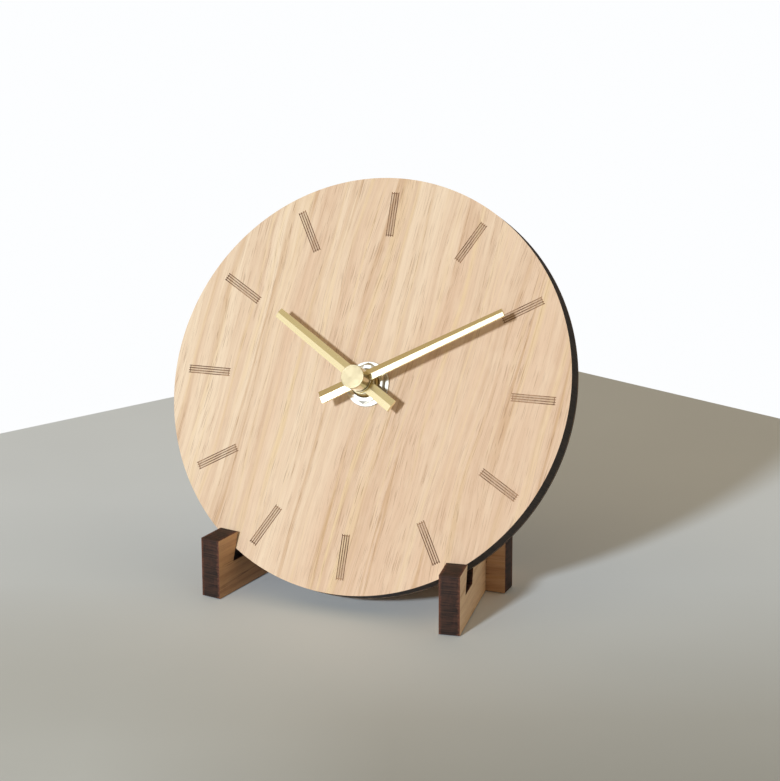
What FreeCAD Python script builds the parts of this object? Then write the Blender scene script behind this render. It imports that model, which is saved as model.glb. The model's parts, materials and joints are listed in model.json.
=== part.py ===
"""Desk clock: a round wooden dial that leans back in a slotted three-board stand.

Frame: millimetres, +Z up, X to the viewer's right, Y away from the viewer.  The origin is the middle of
the cross board's underside, on the surface that the stand rests on.
The clock has a frame of its own: its origin is the centre of the dial's front face, x to the viewer's
right, y up along the dial and z out of the dial towards the viewer.
"""
import FreeCAD, Part
import math
import os
import re

import Sketcher
from FreeCAD import Placement, Rotation, Vector

SIZES = [
    # stand
    ("board_thick", 6.0, "boards of the stand"),
    ("foot_height", 17.4, "feet and cross board"),
    ("foot_front", 34.4, "from the cross board's front face to the feet's front ends"),
    ("foot_tail", 13.0, "feet behind the cross board"),
    ("foot_spread", 36.3, "from the middle plane to a foot's centre line at its front end"),
    ("foot_toe", 9.0, "degrees that each foot turns in towards the back"),
    ("foot_tip", 9.6, "top of a foot in front of its slot"),
    ("slot_floor", 9.2, "height of the slot's bottom"),
    ("slot_lean", 17.0, "degrees that the slot's walls lean back"),
    ("slot_play", 0.12, "room between the dial and the slot's walls"),
    ("seat_gap", 0.02, "room under the dial's rim"),
    ("cross_length", 79.4, "cross board"),
    ("lap_play", 0.1, "room in the halved joints"),
    # dial
    ("dial_radius", 60.0, "dial"),
    ("dial_thick", 6.5, "dial with both veneers"),
    ("veneer", 0.6, "one veneer"),
    ("dial_lean", 27.0, "degrees back from upright"),
    ("dial_turn", 2.0, "degrees that the dial is turned in its slots"),
    ("dial_shift", 1.0, "dial's centre left of the stand's middle plane"),
    ("hole_play", 0.4, "room round the bush"),
    ("mark_inner", 42.9, "radius where an hour mark starts"),
    ("mark_outer", 55.9, "radius where an hour mark ends"),
    ("mark_width", 2.3, "hour mark"),
    ("line_width", 0.24, "one engraved line of a mark"),
    ("line_depth", 0.16, "one engraved line of a mark"),
    ("mark_count", 12, "hour marks"),
    ("mark_lines", 4, "engraved lines in one mark"),
    # bush and what clamps the dial
    ("bush_radius", 3.9, "threaded bush"),
    ("bush_reach", 3.3, "bush in front of the dial"),
    ("washer_radius", 6.5, "washer"),
    ("washer_thick", 0.6, "washer"),
    ("nut_flats", 10.4, "hexagon nut across its flats"),
    ("nut_thick", 1.7, "hexagon nut"),
    ("gasket_radius", 9.0, "rubber gasket"),
    ("gasket_thick", 1.0, "rubber gasket"),
    ("run_gap", 0.05, "radial running clearance"),
    ("pressed_gap", 0.02, "between pieces that are pressed or laid together"),
    ("end_gap", 0.3, "end play and clear air between turning pieces"),
    # hands
    ("minute_pipe", 1.6, "radius of the minute arbor"),
    ("hour_pipe", 2.6, "outer radius of the hour pipe"),
    ("hour_base", 4.8, "hour hand's underside above the dial"),
    ("minute_base", 6.5, "minute hand's underside above the dial"),
    ("cap_top", 12.5, "front of the minute hand's cap"),
    ("cap_wall", 1.2, "front wall of the cap"),
    ("cap_radius", 3.4, "minute hand's cap"),
    ("collet_radius", 3.6, "hour hand's collet"),
    ("collet_seat", 3.0, "radius of the collet in the hour hand"),
    ("collet_foot", 3.6, "collet's lower end above the dial"),
    ("collet_top", 6.2, "collet's front above the dial"),
    ("blade_edge", 0.9, "thickness of a hand at its edges"),
    ("blade_ridge", 1.3, "thickness of a hand at its ridge"),
    ("boss_thick", 0.5, "round boss of a hand"),
    ("minute_reach", 45.5, "minute hand from the axis to its tip"),
    ("minute_back", 12.3, "minute hand's tail"),
    ("minute_tip", 2.2, "minute hand's width at the tip"),
    ("minute_tail", 3.5, "minute hand's width at the tail"),
    ("minute_angle", 60.6, "minute hand, degrees clockwise from 12"),
    ("hour_reach", 33.1, "hour hand from the axis to its tip"),
    ("hour_back", 12.0, "hour hand's tail"),
    ("hour_tip", 2.9, "hour hand's width at the tip"),
    ("hour_tail", 3.7, "hour hand's width at the tail"),
    ("hour_angle", 302.0, "hour hand, degrees clockwise from 12"),
    # movement
    ("contact_room", 1.7, "from each end of the battery to the case's wall"),
    ("case_wall", 1.2, "walls of the case"),
    ("case_corner", 4.0, "radius of the case's corners"),
    ("cover_thick", 1.2, "rear cover"),
    ("plate_room", 0.3, "from the bobbin's flanges to the train plate"),
    ("plate_thick", 1.0, "train plate"),
    ("post_radius", 2.4, "posts that carry the train plate"),
    ("post_inset", 3.2, "posts from the case's inner walls"),
    ("screw_radius", 0.9, "plate screws"),
    ("screw_head", 1.8, "plate screws"),
    ("screw_length", 5.0, "plate screws below the head"),
    ("head_thick", 1.0, "plate screws"),
    ("pivot_radius", 0.55, "pivots of the train"),
    ("rotor_pivot", 0.44, "pivots of the rotor"),
    ("arbor_radius", 0.9, "arbors of the train"),
    # train: module and teeth of each pair, and where each wheel lies
    ("motion_module", 0.4, "cannon pinion, intermediate wheel and setting pinion"),
    ("cannon_teeth", 12, "cannon pinion"),
    ("inter_teeth", 36, "intermediate wheel"),
    ("inter_pinion", 12, "intermediate pinion"),
    ("hour_teeth", 48, "hour wheel"),
    ("centre_teeth", 72, "centre wheel"),
    ("third_pinion", 8, "third pinion"),
    ("centre_module", 0.28, "centre wheel and third pinion"),
    ("third_teeth", 60, "third wheel"),
    ("rotor_teeth", 6, "rotor pinion"),
    ("third_module", 0.25, "third wheel and rotor pinion"),
    ("setting_teeth", 12, "setting pinion"),
    ("inter_angle", 180.0, "direction of the intermediate wheel from the hands' axis"),
    ("setting_angle", 110.0, "direction of the setting knob from the intermediate wheel"),
    ("third_angle", 40.0, "direction of the third wheel from the hands' axis"),
    ("rotor_angle", 80.0, "direction of the rotor from the third wheel"),
    ("wheel_thick", 0.8, "wheels"),
    ("wheel_step", 1.4, "depth from one wheel to the next"),
    ("tooth_share", 0.76, "part of the half pitch that a tooth fills"),
    ("tooth_tip", 0.6, "tooth above the pitch circle, in modules"),
    ("tooth_root", 0.85, "tooth below the pitch circle, in modules"),
    ("train_room", 0.25, "from the centre wheel to the rib over the battery"),
    ("magnet_radius", 2.6, "rotor magnet"),
    ("magnet_thick", 1.8, "rotor magnet"),
    ("air_gap", 0.4, "round the rotor magnet"),
    ("stator_thick", 0.8, "stator"),
    ("stator_arm", 2.6, "stator's arms"),
    ("yoke_rim", 1.6, "stator round its hole"),
    ("stator_height", 8.5, "from the rotor's axis to the coil's axis"),
    ("coil_length", 9.0, "coil winding"),
    ("coil_radius", 2.2, "coil winding"),
    ("core_width", 2.0, "stator's bar in the coil"),
    ("flange_thick", 0.6, "bobbin's flanges"),
    ("flange_lip", 0.1, "bobbin's flanges above the winding"),
    ("tube_wall", 0.5, "bobbin's tube round the stator's bar"),
    ("coil_room", 0.7, "from the bobbin's flanges to the case's upper wall"),
    ("board_room", 0.6, "from the train plate to the circuit board"),
    ("cover_room", 0.18, "from the quartz crystal to the rear cover"),
    ("board_plate", 0.8, "circuit board"),
    ("board_width", 22.0, "circuit board"),
    ("board_height", 12.0, "circuit board"),
    ("board_right", 3.8, "from the circuit board to the case's right wall"),
    ("board_above", 5.6, "from the circuit board to the case's upper wall"),
    ("crystal_radius", 0.9, "quartz crystal's can"),
    ("crystal_length", 6.0, "quartz crystal's can"),
    ("chip_side", 5.0, "chip"),
    ("chip_thick", 1.0, "chip"),
    ("knob_radius", 5.2, "setting knob"),
    ("knob_thick", 2.6, "setting knob"),
    ("knob_grips", 18, "flutes round the knob"),
    ("grip_radius", 0.55, "flutes round the knob"),
    ("grip_out", 0.25, "flutes' centres outside the knob"),
    ("stem_radius", 1.5, "setting stem"),
    # battery, an AA cell
    ("cell_radius", 7.1, "battery"),
    ("cell_length", 49.0, "battery without its terminal"),
    ("bay_floor", 0.7, "from the battery to the case's lower wall"),
    ("cell_play", 0.4, "room round the battery"),
    ("nub_radius", 2.6, "battery's positive terminal"),
    ("nub_length", 1.2, "battery's positive terminal"),
    ("contact_thick", 0.3, "battery contacts"),
    ("contact_width", 8.0, "battery contacts"),
    ("rib_thick", 1.0, "rib between the battery and the train"),
]

doc = FreeCAD.newDocument("DeskClock")
sheet = doc.addObject("Spreadsheet::Sheet", "Sizes")


def write_sizes(rows, first_row=1):
    """Put rows of (alias, value, note) in the sheet."""
    for row, (alias, value, note) in enumerate(rows, first_row):
        sheet.set(f"A{row}", alias)
        sheet.set(f"B{row}", str(value))
        sheet.set(f"C{row}", note)
        sheet.setAlias(f"B{row}", alias)
    doc.recompute()


def size(alias):
    """The value of one cell, in millimetres, degrees or teeth."""
    return float(getattr(sheet, alias))


write_sizes(SIZES)
BOARD, HEIGHT = size("board_thick"), size("foot_height")
LEAN, TOE = math.radians(size("dial_lean")), math.radians(size("foot_toe"))
FOOT_FRONT_Y = -(size("foot_front") + BOARD / 2)


def seat_dial():
    """The dial centre's y and z and the slot's width, for a dial that rests in both slots."""
    radius, thick, play = size("dial_radius"), size("dial_thick"), size("slot_play")
    wall_lean = math.tan(math.radians(size("slot_lean")))
    y, z = 0.0, radius
    for _ in range(60):
        drops, rooms = [], []
        for side in (-1, 1):
            for face in (-1, 1):
                base_x = size("foot_spread") + face * BOARD / 2 * math.cos(TOE)
                base_y = FOOT_FRONT_Y + face * BOARD / 2 * math.sin(TOE)
                front_y = back_y = y
                for _ in range(12):
                    front_x = base_x - (front_y - base_y) * math.tan(TOE) + side * size("dial_shift")
                    front_v = -math.sqrt(radius**2 - front_x**2)
                    front_y = y + front_v * math.sin(LEAN)
                    back_x = base_x - (back_y - base_y) * math.tan(TOE) + side * size("dial_shift")
                    back_v = -math.sqrt(radius**2 - back_x**2)
                    back_y = y + back_v * math.sin(LEAN) + thick * math.cos(LEAN)
                drops.append(-back_v * math.cos(LEAN) + thick * math.sin(LEAN))
                rim_z = z + front_v * math.cos(LEAN)
                wall = size("foot_tip") - (HEIGHT - rim_z) * wall_lean
                rooms.append((front_y - base_y) / math.cos(TOE) - wall)
        z = size("slot_floor") + size("seat_gap") + max(drops)
        y += play - min(rooms)
    inner_y = FOOT_FRONT_Y - BOARD / 2 * math.sin(TOE)
    back_y = y + (HEIGHT - z) * math.tan(LEAN) + thick / math.cos(LEAN)
    return y, z, (back_y - inner_y) / math.cos(TOE) + play - size("foot_tip")



def polar(angle, distance, start=(0.0, 0.0)):
    turned = math.radians(angle)
    return start[0] + distance * math.cos(turned), start[1] + distance * math.sin(turned)


# where the wheels lie, in the clock's frame
N_CANNON, N_INTER, N_PINION = (int(size(a)) for a in ("cannon_teeth", "inter_teeth", "inter_pinion"))
N_HOUR, N_SET = int(size("hour_teeth")), int(size("setting_teeth"))
N_CENTRE, N_LEAF = int(size("centre_teeth")), int(size("third_pinion"))
N_THIRD, N_ROTOR = int(size("third_teeth")), int(size("rotor_teeth"))
M_MOTION, M_CENTRE, M_THIRD = size("motion_module"), size("centre_module"), size("third_module")
MOTION_REACH = M_MOTION * (N_CANNON + N_INTER) / 2
M_HOUR = 2 * MOTION_REACH / (N_HOUR + N_PINION)
INTER = polar(size("inter_angle"), MOTION_REACH)
SETTING = polar(size("setting_angle"), M_MOTION * (N_INTER + N_SET) / 2, INTER)
THIRD = polar(size("third_angle"), M_CENTRE * (N_CENTRE + N_LEAF) / 2)
ROTOR = polar(size("rotor_angle"), M_THIRD * (N_THIRD + N_ROTOR) / 2, THIRD)
COIL_Y = ROTOR[1] + size("stator_height")

# what the case holds gives its size: battery and contacts its width, battery and train its height, and
# train, coil and circuit board its depth
ROOM_WIDE = size("cell_length") + size("nub_length") + 2 * size("contact_room")
RIB_LOW = M_CENTRE * (N_CENTRE / 2 + size("tooth_tip")) + size("train_room")
CELL_DROP = RIB_LOW + size("rib_thick") + size("cell_play") + size("cell_radius")
CASE_LOW = CELL_DROP + size("cell_radius") + size("bay_floor")
FLANGE = size("coil_radius") + size("flange_lip")
CASE_HIGH = COIL_Y + FLANGE + size("coil_room")
WHEELS_DEPTH = size("case_wall") + size("end_gap") + 3 * size("wheel_step") + size("wheel_thick")
MAGNET_DEPTH = WHEELS_DEPTH + size("air_gap")
PLATE_DEPTH = MAGNET_DEPTH + size("magnet_thick") / 2 + FLANGE + size("plate_room")
BOARD_DEPTH = PLATE_DEPTH + size("plate_thick") + size("board_room")
CRYSTAL_DEPTH = BOARD_DEPTH + size("board_plate") + size("pressed_gap") + 2 * size("crystal_radius")
DIAL_Y, DIAL_Z, SLOT_WIDTH = seat_dial()
BOARD_X = (ROOM_WIDE - size("board_width")) / 2 - size("board_right")
BOARD_Y = CASE_HIGH - size("board_height") / 2 - size("board_above")
DERIVED = [
    ("case_side", ROOM_WIDE + 2 * size("case_wall"), "width of the case"),
    ("case_low", CASE_LOW, "from the hands' axis to the case's lower wall"),
    ("case_high", CASE_HIGH, "from the hands' axis to the case's upper wall"),
    ("plate_depth", PLATE_DEPTH, "train plate behind the case's front"),
    ("board_depth", BOARD_DEPTH, "circuit board behind the case's front"),
    ("case_depth", CRYSTAL_DEPTH + size("cover_room"), "front shell of the case"),
    ("cell_drop", CELL_DROP, "battery's axis under the hands'"),
    ("board_x", BOARD_X, "circuit board's middle, right of the hands' axis"),
    ("board_y", BOARD_Y, "circuit board's middle, above the hands' axis"),
    ("dial_y", DIAL_Y, "dial's centre, from the seat in the slots"),
    ("dial_z", DIAL_Z, "dial's centre, from the seat in the slots"),
    ("slot_width", SLOT_WIDTH, "slot along the foot, from the seat in the slots"),
]
write_sizes([(alias, round(value, 4), note) for alias, value, note in DERIVED], len(SIZES) + 1)

CLOCK = Placement(
    Vector(-size("dial_shift"), size("dial_y"), size("dial_z")),
    Rotation(Vector(1, 0, 0), 90 - size("dial_lean")) * Rotation(Vector(0, 0, 1), size("dial_turn")),
)
ALIASES = re.compile(r"[a-z]+_[a-z]+|\bveneer\b")
PARTS = []


def cell(text):
    """An expression that names sizes, as FreeCAD wants it."""
    return ALIASES.sub(lambda found: "Sizes." + found.group(), str(text))


def bind(item, **values):
    for name, text in values.items():
        item.setExpression(name, cell(text))
    return item


def at(item, x="0 mm", y="0 mm", z="0 mm"):
    """Bind where a primitive stands in its own frame."""
    for axis, text in zip("xyz", (x, y, z)):
        item.setExpression(f"Placement.Base.{axis}", cell(text))
    return item


def rod(name, radius, length, x="0", y="0", z="0", along="z"):
    item = doc.addObject("Part::Cylinder", name)
    turn = {"z": Rotation(), "x": Rotation(Vector(0, 1, 0), 90), "y": Rotation(Vector(1, 0, 0), -90)}
    item.Placement = Placement(Vector(), turn[along])
    return at(bind(item, Radius=radius, Height=length), x, y, z)


def block(name, length, width, height, x="0", y="0", z="0"):
    """A box whose corner with the lowest x, y and z is at the given place."""
    return at(bind(doc.addObject("Part::Box", name), Length=length, Width=width, Height=height), x, y, z)


def fuse(name, *items):
    item = doc.addObject("Part::MultiFuse", name)
    item.Shapes = list(items)
    return item


def cut(name, base, *tools):
    item = doc.addObject("Part::Cut", name)
    item.Base = base
    item.Tool = tools[0] if len(tools) == 1 else fuse(name + "_tools", *tools)
    return item


def keep(item, label, place=None):
    """Make an item one of the clock's pieces."""
    if item.TypeId in ("Part::Box", "Part::Cylinder"):
        primitive = item
        item = doc.addObject("Part::Compound", primitive.Name + "_piece")
        item.Links = [primitive]
    item.Label = label
    if place is not None:
        item.Placement = place
    PARTS.append(item)
    return item


def number(text):
    """The number that an expression of the sizes gives."""
    return float(sheet.evalExpression(ALIASES.sub(lambda found: found.group(), str(text))))


def body(name):
    """A new body and its origin planes by role."""
    item = doc.addObject("PartDesign::Body", name)
    doc.recompute()
    planes = {plane.Role: plane for plane in item.Origin.OriginFeatures}
    return item, planes


def sketch_on(item, plane, name):
    sketch = item.newObject("Sketcher::SketchObject", name)
    sketch.AttachmentSupport = (plane, [""])
    sketch.MapMode = "FlatFace"
    return sketch


def polygon(sketch, points):
    """A closed outline; each corner is held by expressions of the sizes."""
    spots = [Vector(number(x), number(y), 0) for x, y in points]
    first = sketch.GeometryCount
    count = len(points)
    for k in range(count):
        sketch.addGeometry(Part.LineSegment(spots[k], spots[(k + 1) % count]), False)
    for k in range(count):
        sketch.addConstraint(Sketcher.Constraint("Coincident", first + k, 2, first + (k + 1) % count, 1))
    for k, (x, y) in enumerate(points):
        for kind, axis, text, value in (("DistanceX", -2, x, spots[k].x), ("DistanceY", -1, y, spots[k].y)):
            if text == "0":
                sketch.addConstraint(Sketcher.Constraint("PointOnObject", first + k, 1, axis))
                continue
            held = sketch.addConstraint(Sketcher.Constraint(kind, -1, 1, first + k, 1, value))
            sketch.setExpression(f"Constraints[{held}]", cell(text))


def circle(sketch, radius):
    """A circle about the sketch's origin."""
    index = sketch.addGeometry(Part.Circle(Vector(), Vector(0, 0, 1), number(radius)), False)
    sketch.addConstraint(Sketcher.Constraint("Coincident", index, 3, -1, 1))
    held = sketch.addConstraint(Sketcher.Constraint("Radius", index, number(radius)))
    sketch.setExpression(f"Constraints[{held}]", cell(radius))


def pad(item, sketch, name, length, middle=False, back=False):
    step = item.newObject("PartDesign::Pad", name)
    step.Profile = sketch
    step.Midplane = middle
    step.Reversed = back
    step.setExpression("Length", cell(length))
    sketch.Visibility = False
    return step


# ---------------------------------------------------------------- stand

def foot(label, side):
    """A board on edge with an open slot for the dial and a notch under it for the cross board."""
    item, planes = body(label + "_body")
    outline = sketch_on(item, planes["YZ_Plane"], label + "_outline")
    crossing = "(foot_front + board_thick / 2) / cos(foot_toe)"
    half = "(board_thick / cos(foot_toe) + board_thick * tan(foot_toe)) / 2 + lap_play"
    slot = "(foot_height - slot_floor) * tan(slot_lean)"
    end = f"{crossing} + board_thick / 2 + foot_tail"
    polygon(outline, [
        ("0", "0"),
        ("0", "foot_height"),
        ("foot_tip", "foot_height"),
        (f"foot_tip - {slot}", "slot_floor"),
        (f"foot_tip + slot_width - {slot}", "slot_floor"),
        ("foot_tip + slot_width", "foot_height"),
        (end, "foot_height"),
        (end, "0"),
        (f"{crossing} + {half}", "0"),
        (f"{crossing} + {half}", "foot_height / 2 + lap_play / 2"),
        (f"{crossing} - ({half})", "foot_height / 2 + lap_play / 2"),
        (f"{crossing} - ({half})", "0"),
    ])
    pad(item, outline, label + "_board", "board_thick", middle=True)
    turn = Rotation(Vector(0, 0, 1), side * size("foot_toe"))
    return keep(item, label, Placement(Vector(side * size("foot_spread"), FOOT_FRONT_Y, 0), turn))


def cross_board():
    """The board across the back, notched from above where the feet pass over it."""
    item, planes = body("cross_body")
    outline = sketch_on(item, planes["XZ_Plane"], "cross_outline")
    reach = "foot_spread - (foot_front + board_thick / 2) * tan(foot_toe)"
    half = "(board_thick / cos(foot_toe) + board_thick * tan(foot_toe)) / 2 + lap_play"
    floor = "foot_height / 2 - lap_play / 2"
    left, right = f"cross_length / 2 - ({reach})", f"cross_length / 2 + {reach}"
    polygon(outline, [
        ("0", "0"),
        ("0", "foot_height"),
        (f"{left} - ({half})", "foot_height"),
        (f"{left} - ({half})", floor),
        (f"{left} + {half}", floor),
        (f"{left} + {half}", "foot_height"),
        (f"{right} - ({half})", "foot_height"),
        (f"{right} - ({half})", floor),
        (f"{right} + {half}", floor),
        (f"{right} + {half}", "foot_height"),
        ("cross_length", "foot_height"),
        ("cross_length", "0"),
    ])
    pad(item, outline, "cross_plank", "board_thick", middle=True)
    return keep(item, "cross_board", Placement(Vector(-size("cross_length") / 2, 0, 0), Rotation()))


# ---------------------------------------------------------------- dial

def dial_core():
    disc = rod("core_disc", "dial_radius", "dial_thick - 2 * veneer", z="veneer - dial_thick")
    hole = rod("core_hole", "bush_radius + hole_play", "dial_thick", z="-dial_thick")
    return keep(cut("core", disc, hole), "dial_core", CLOCK)


def veneer_back():
    disc = rod("back_disc", "dial_radius", "veneer", z="-dial_thick")
    hole = rod("back_hole", "bush_radius + hole_play", "2 * veneer", z="-dial_thick - veneer / 2")
    return keep(cut("back_veneer", disc, hole), "veneer_back", CLOCK)


def veneer_front():
    """The face veneer with the hour marks, each a row of engraved lines."""
    item, planes = body("face_body")
    rim = sketch_on(item, planes["XY_Plane"], "face_outline")
    circle(rim, "dial_radius")
    circle(rim, "bush_radius + hole_play")
    plate = pad(item, rim, "face_plate", "veneer", back=True)
    marks = sketch_on(item, planes["XY_Plane"], "mark_lines_sketch")
    lines = int(size("mark_lines"))
    for k in range(lines):
        middle = f"dial_radius + (mark_width - line_width) * {k / (lines - 1) - 0.5}"
        low, high = f"{middle} - line_width / 2", f"{middle} + line_width / 2"
        near, far = "mark_inner", "mark_outer"
        corners = [(low, near), (high, near), (high, far), (low, far)]
        polygon(marks, corners)
    marks.AttachmentOffset = Placement(Vector(-size("dial_radius"), 0, 0), Rotation())
    doc.recompute()
    engraving = item.newObject("PartDesign::Pocket", "engraving")
    engraving.Profile = marks
    engraving.setExpression("Length", cell("line_depth"))
    doc.recompute()
    if engraving.Shape.Volume > plate.Shape.Volume - 1e-6:
        engraving.Reversed = True
    ring = item.newObject("PartDesign::PolarPattern", "marks_round")
    ring.Originals = [engraving]
    ring.Axis = (rim, ["N_Axis"])
    ring.Angle = 360
    ring.setExpression("Occurrences", cell("mark_count"))
    item.Tip = ring
    return keep(item, "veneer_front", CLOCK)


def clamp():
    """The bush through the dial, and what clamps the dial to the movement."""
    tube = rod("bush_tube", "bush_radius", "bush_reach + dial_thick + gasket_thick + case_wall - end_gap",
               z="-dial_thick - gasket_thick - case_wall + end_gap")
    bore = rod("bush_bore", "hour_pipe + run_gap", "case_side", z="-case_side / 2")
    keep(cut("bush", tube, bore), "threaded_bush", CLOCK)

    disc = rod("gasket_disc", "gasket_radius", "gasket_thick", z="-dial_thick - gasket_thick")
    hole = rod("gasket_hole", "bush_radius + end_gap", "3 * gasket_thick",
               z="-dial_thick - 2 * gasket_thick")
    keep(cut("gasket_ring", disc, hole), "rubber_gasket", CLOCK)

    disc = rod("washer_disc", "washer_radius", "washer_thick")
    hole = rod("washer_hole", "bush_radius + end_gap / 2", "3 * washer_thick", z="-washer_thick")
    keep(cut("washer_ring", disc, hole), "washer", CLOCK)

    six = bind(doc.addObject("Part::Prism", "nut_six"), Circumradius="nut_flats / (2 * cos(30))",
               Height="nut_thick")
    six.Polygon = 6
    at(six, z="washer_thick")
    crown = doc.addObject("Part::Cone", "nut_crown")
    bind(crown, Radius1="nut_flats / 2 + 2 * nut_thick", Radius2="nut_flats / 2 - nut_thick * 0.1",
         Height="nut_thick * 1.25")
    at(crown, z="washer_thick")
    shaped = doc.addObject("Part::Common", "nut_shaped")
    shaped.Base = six
    shaped.Tool = crown
    hole = rod("nut_hole", "bush_radius + pressed_gap", "3 * nut_thick", z="-nut_thick / 2")
    keep(cut("nut", shaped, hole), "hex_nut", CLOCK)


# ---------------------------------------------------------------- wheels

def toothed(teeth, module, low, high, phase=0.0, bore=0.0):
    """A spur wheel between two heights, with one tooth's middle at the angle phase."""
    pitch = module * teeth / 2
    share = size("tooth_share") * math.pi / teeth / 2
    tip, root = pitch + size("tooth_tip") * module, pitch - size("tooth_root") * module
    slope = math.tan(math.radians(20)) / pitch
    flank = [(root, share * 1.08), (pitch, share), (tip, share - (tip - pitch) * slope)]
    corners = []
    for k in range(teeth):
        middle = math.radians(phase) + 2 * math.pi * k / teeth
        rise = [(r, middle - half) for r, half in flank]
        fall = [(r, middle + half) for r, half in reversed(flank)]
        corners += [Vector(r * math.cos(a), r * math.sin(a), low) for r, a in rise + fall]
    solid = Part.Face(Part.makePolygon(corners + corners[:1])).extrude(Vector(0, 0, high - low))
    if bore:
        solid = solid.cut(Part.makeCylinder(bore, high - low + 2, Vector(0, 0, low - 1)))
    return solid


def solid_rod(radius, low, high):
    return Part.makeCylinder(radius, high - low, Vector(0, 0, low))


def meshed(angle, driver, driver_phase, follower):
    """Phase of the follower whose gap meets the driver's tooth; the angle runs from driver to follower."""
    return angle + 180 + (driver * (angle - driver_phase) - 180) / follower


def turning(label, solids, holes=(), x=0.0, y=0.0, angle=0.0):
    """A turning piece on its own axis in the clock's frame."""
    shape = solids[0].fuse(solids[1:]) if len(solids) > 1 else solids[0]
    for hole in holes:
        shape = shape.cut(hole)
    item = doc.addObject("Part::Feature", label + "_piece")
    item.Shape = shape.removeSplitter()
    return keep(item, label, CLOCK * Placement(Vector(x, y, 0), Rotation(Vector(0, 0, 1), angle)))


CASE_FACE = -(size("dial_thick") + size("gasket_thick"))
INNER = CASE_FACE - size("case_wall")
PLATE = CASE_FACE - size("plate_depth")
COVER = CASE_FACE - size("case_depth")
STEP, WHEEL = size("wheel_step"), size("wheel_thick")
FREE, RUN = size("end_gap"), size("run_gap")
HALF = size("case_side") / 2 - size("case_wall")


def level(number_of_steps):
    """Front face of the wheels on one level; level 0 lies next to the case's front."""
    return INNER - FREE - number_of_steps * STEP


MAGNET = CASE_FACE - MAGNET_DEPTH
MAGNET_MID = MAGNET - size("magnet_thick") / 2
PIVOT, ARBOR = size("pivot_radius"), size("arbor_radius")
PIVOT_TOP, PIVOT_END = INNER + size("case_wall") / 2, PLATE - size("plate_thick") + 0.2
MINUTE_PIPE, HOUR_PIPE = size("minute_pipe"), size("hour_pipe")


def train():
    """The wheels, from the rotor to the hands."""
    inter_phase = meshed(size("inter_angle"), N_CANNON, 0.0, N_INTER)
    arbor = [
        solid_rod(MINUTE_PIPE, level(2) - WHEEL - FREE, size("cap_top") - size("cap_wall") - 0.1),
        toothed(N_CANNON, M_MOTION, level(1) - WHEEL, level(1)),
        solid_rod(MINUTE_PIPE + 0.8, level(2) - WHEEL - 2 * FREE, level(2) - WHEEL - FREE),
        solid_rod(ARBOR, PLATE + FREE, level(2)),
        solid_rod(PIVOT, PIVOT_END, level(2)),
    ]
    turning("minute_arbor", arbor)

    hub = solid_rod(M_HOUR * N_PINION / 4, level(1), level(0) - WHEEL)
    wheel = [
        toothed(N_INTER, M_MOTION, level(1) - WHEEL, level(1), inter_phase),
        toothed(N_PINION, M_HOUR, level(1), level(0)),
        hub,
    ]
    turning("intermediate_wheel", wheel, [solid_rod(ARBOR + RUN, level(3), 0)], *INTER)

    hour_phase = meshed(size("inter_angle") + 180, N_PINION, 0.0, N_HOUR)
    wheel = [
        toothed(N_HOUR, M_HOUR, level(0) - WHEEL, level(0), hour_phase),
        solid_rod(HOUR_PIPE, level(0) - WHEEL, size("collet_top") - 0.2),
    ]
    turning("hour_wheel", wheel, [solid_rod(MINUTE_PIPE + RUN, level(2), size("cap_top"))])

    set_phase = meshed(size("setting_angle"), N_INTER, inter_phase, N_SET)
    knob_top = COVER - size("cover_thick") - FREE
    knob_back = knob_top - size("knob_thick")
    knob = solid_rod(size("knob_radius"), knob_back, knob_top)
    grips = []
    for k in range(int(size("knob_grips"))):
        x, y = polar(360 * k / size("knob_grips"), size("knob_radius") + size("grip_out"))
        grip = solid_rod(size("grip_radius"), knob_back - FREE, knob_top + FREE)
        grip.translate(Vector(x, y, 0))
        grips.append(grip)
    knob = knob.cut(grips)
    pieces = [
        toothed(N_SET, M_MOTION, level(1) - WHEEL, level(1), set_phase),
        solid_rod(size("stem_radius"), knob_top - 0.5, level(1) - WHEEL),
        solid_rod(PIVOT, level(1) - WHEEL, PIVOT_TOP - 0.1),
        knob,
    ]
    turning("setting_knob", pieces, (), *SETTING)

    turning("centre_wheel", [toothed(N_CENTRE, M_CENTRE, level(2) - WHEEL, level(2))],
            [solid_rod(MINUTE_PIPE + RUN, level(3), 0)])

    leaf_phase = meshed(size("third_angle"), N_CENTRE, 0.0, N_LEAF)
    wheel = [
        toothed(N_THIRD, M_THIRD, level(3) - WHEEL, level(3)),
        toothed(N_LEAF, M_CENTRE, level(3), level(2) + 0.1, leaf_phase),
        solid_rod(ARBOR * 0.7, PLATE + FREE, INNER - FREE),
        solid_rod(PIVOT, PIVOT_END, PIVOT_TOP - 0.1),
    ]
    turning("third_wheel", wheel, (), *THIRD)

    rotor_phase = meshed(size("rotor_angle"), N_THIRD, 0.0, N_ROTOR)
    spinner = [
        toothed(N_ROTOR, M_THIRD, level(3) - WHEEL - 0.1, level(3) + 0.1, rotor_phase),
        solid_rod(size("magnet_radius"), MAGNET - size("magnet_thick"), MAGNET),
        solid_rod(size("rotor_pivot"), PIVOT_END, PIVOT_TOP - 0.1),
    ]
    turning("rotor", spinner, (), *ROTOR)


# ---------------------------------------------------------------- hands

def blade(reach, back, tip, tail, base):
    """A faceted baton along y: thin at its edges, with a ridge along its middle."""
    edge, ridge = size("blade_edge"), size("blade_ridge")
    ends = []
    for y, half in ((-back, tail / 2), (reach, tip / 2)):
        spots = [(-half, base), (half, base), (half, base + edge), (0, base + ridge), (-half, base + edge)]
        spots = [Vector(x, y, z) for x, z in spots]
        ends.append(Part.makePolygon(spots + spots[:1]))
    return Part.makeLoft(ends, True, True)


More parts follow.
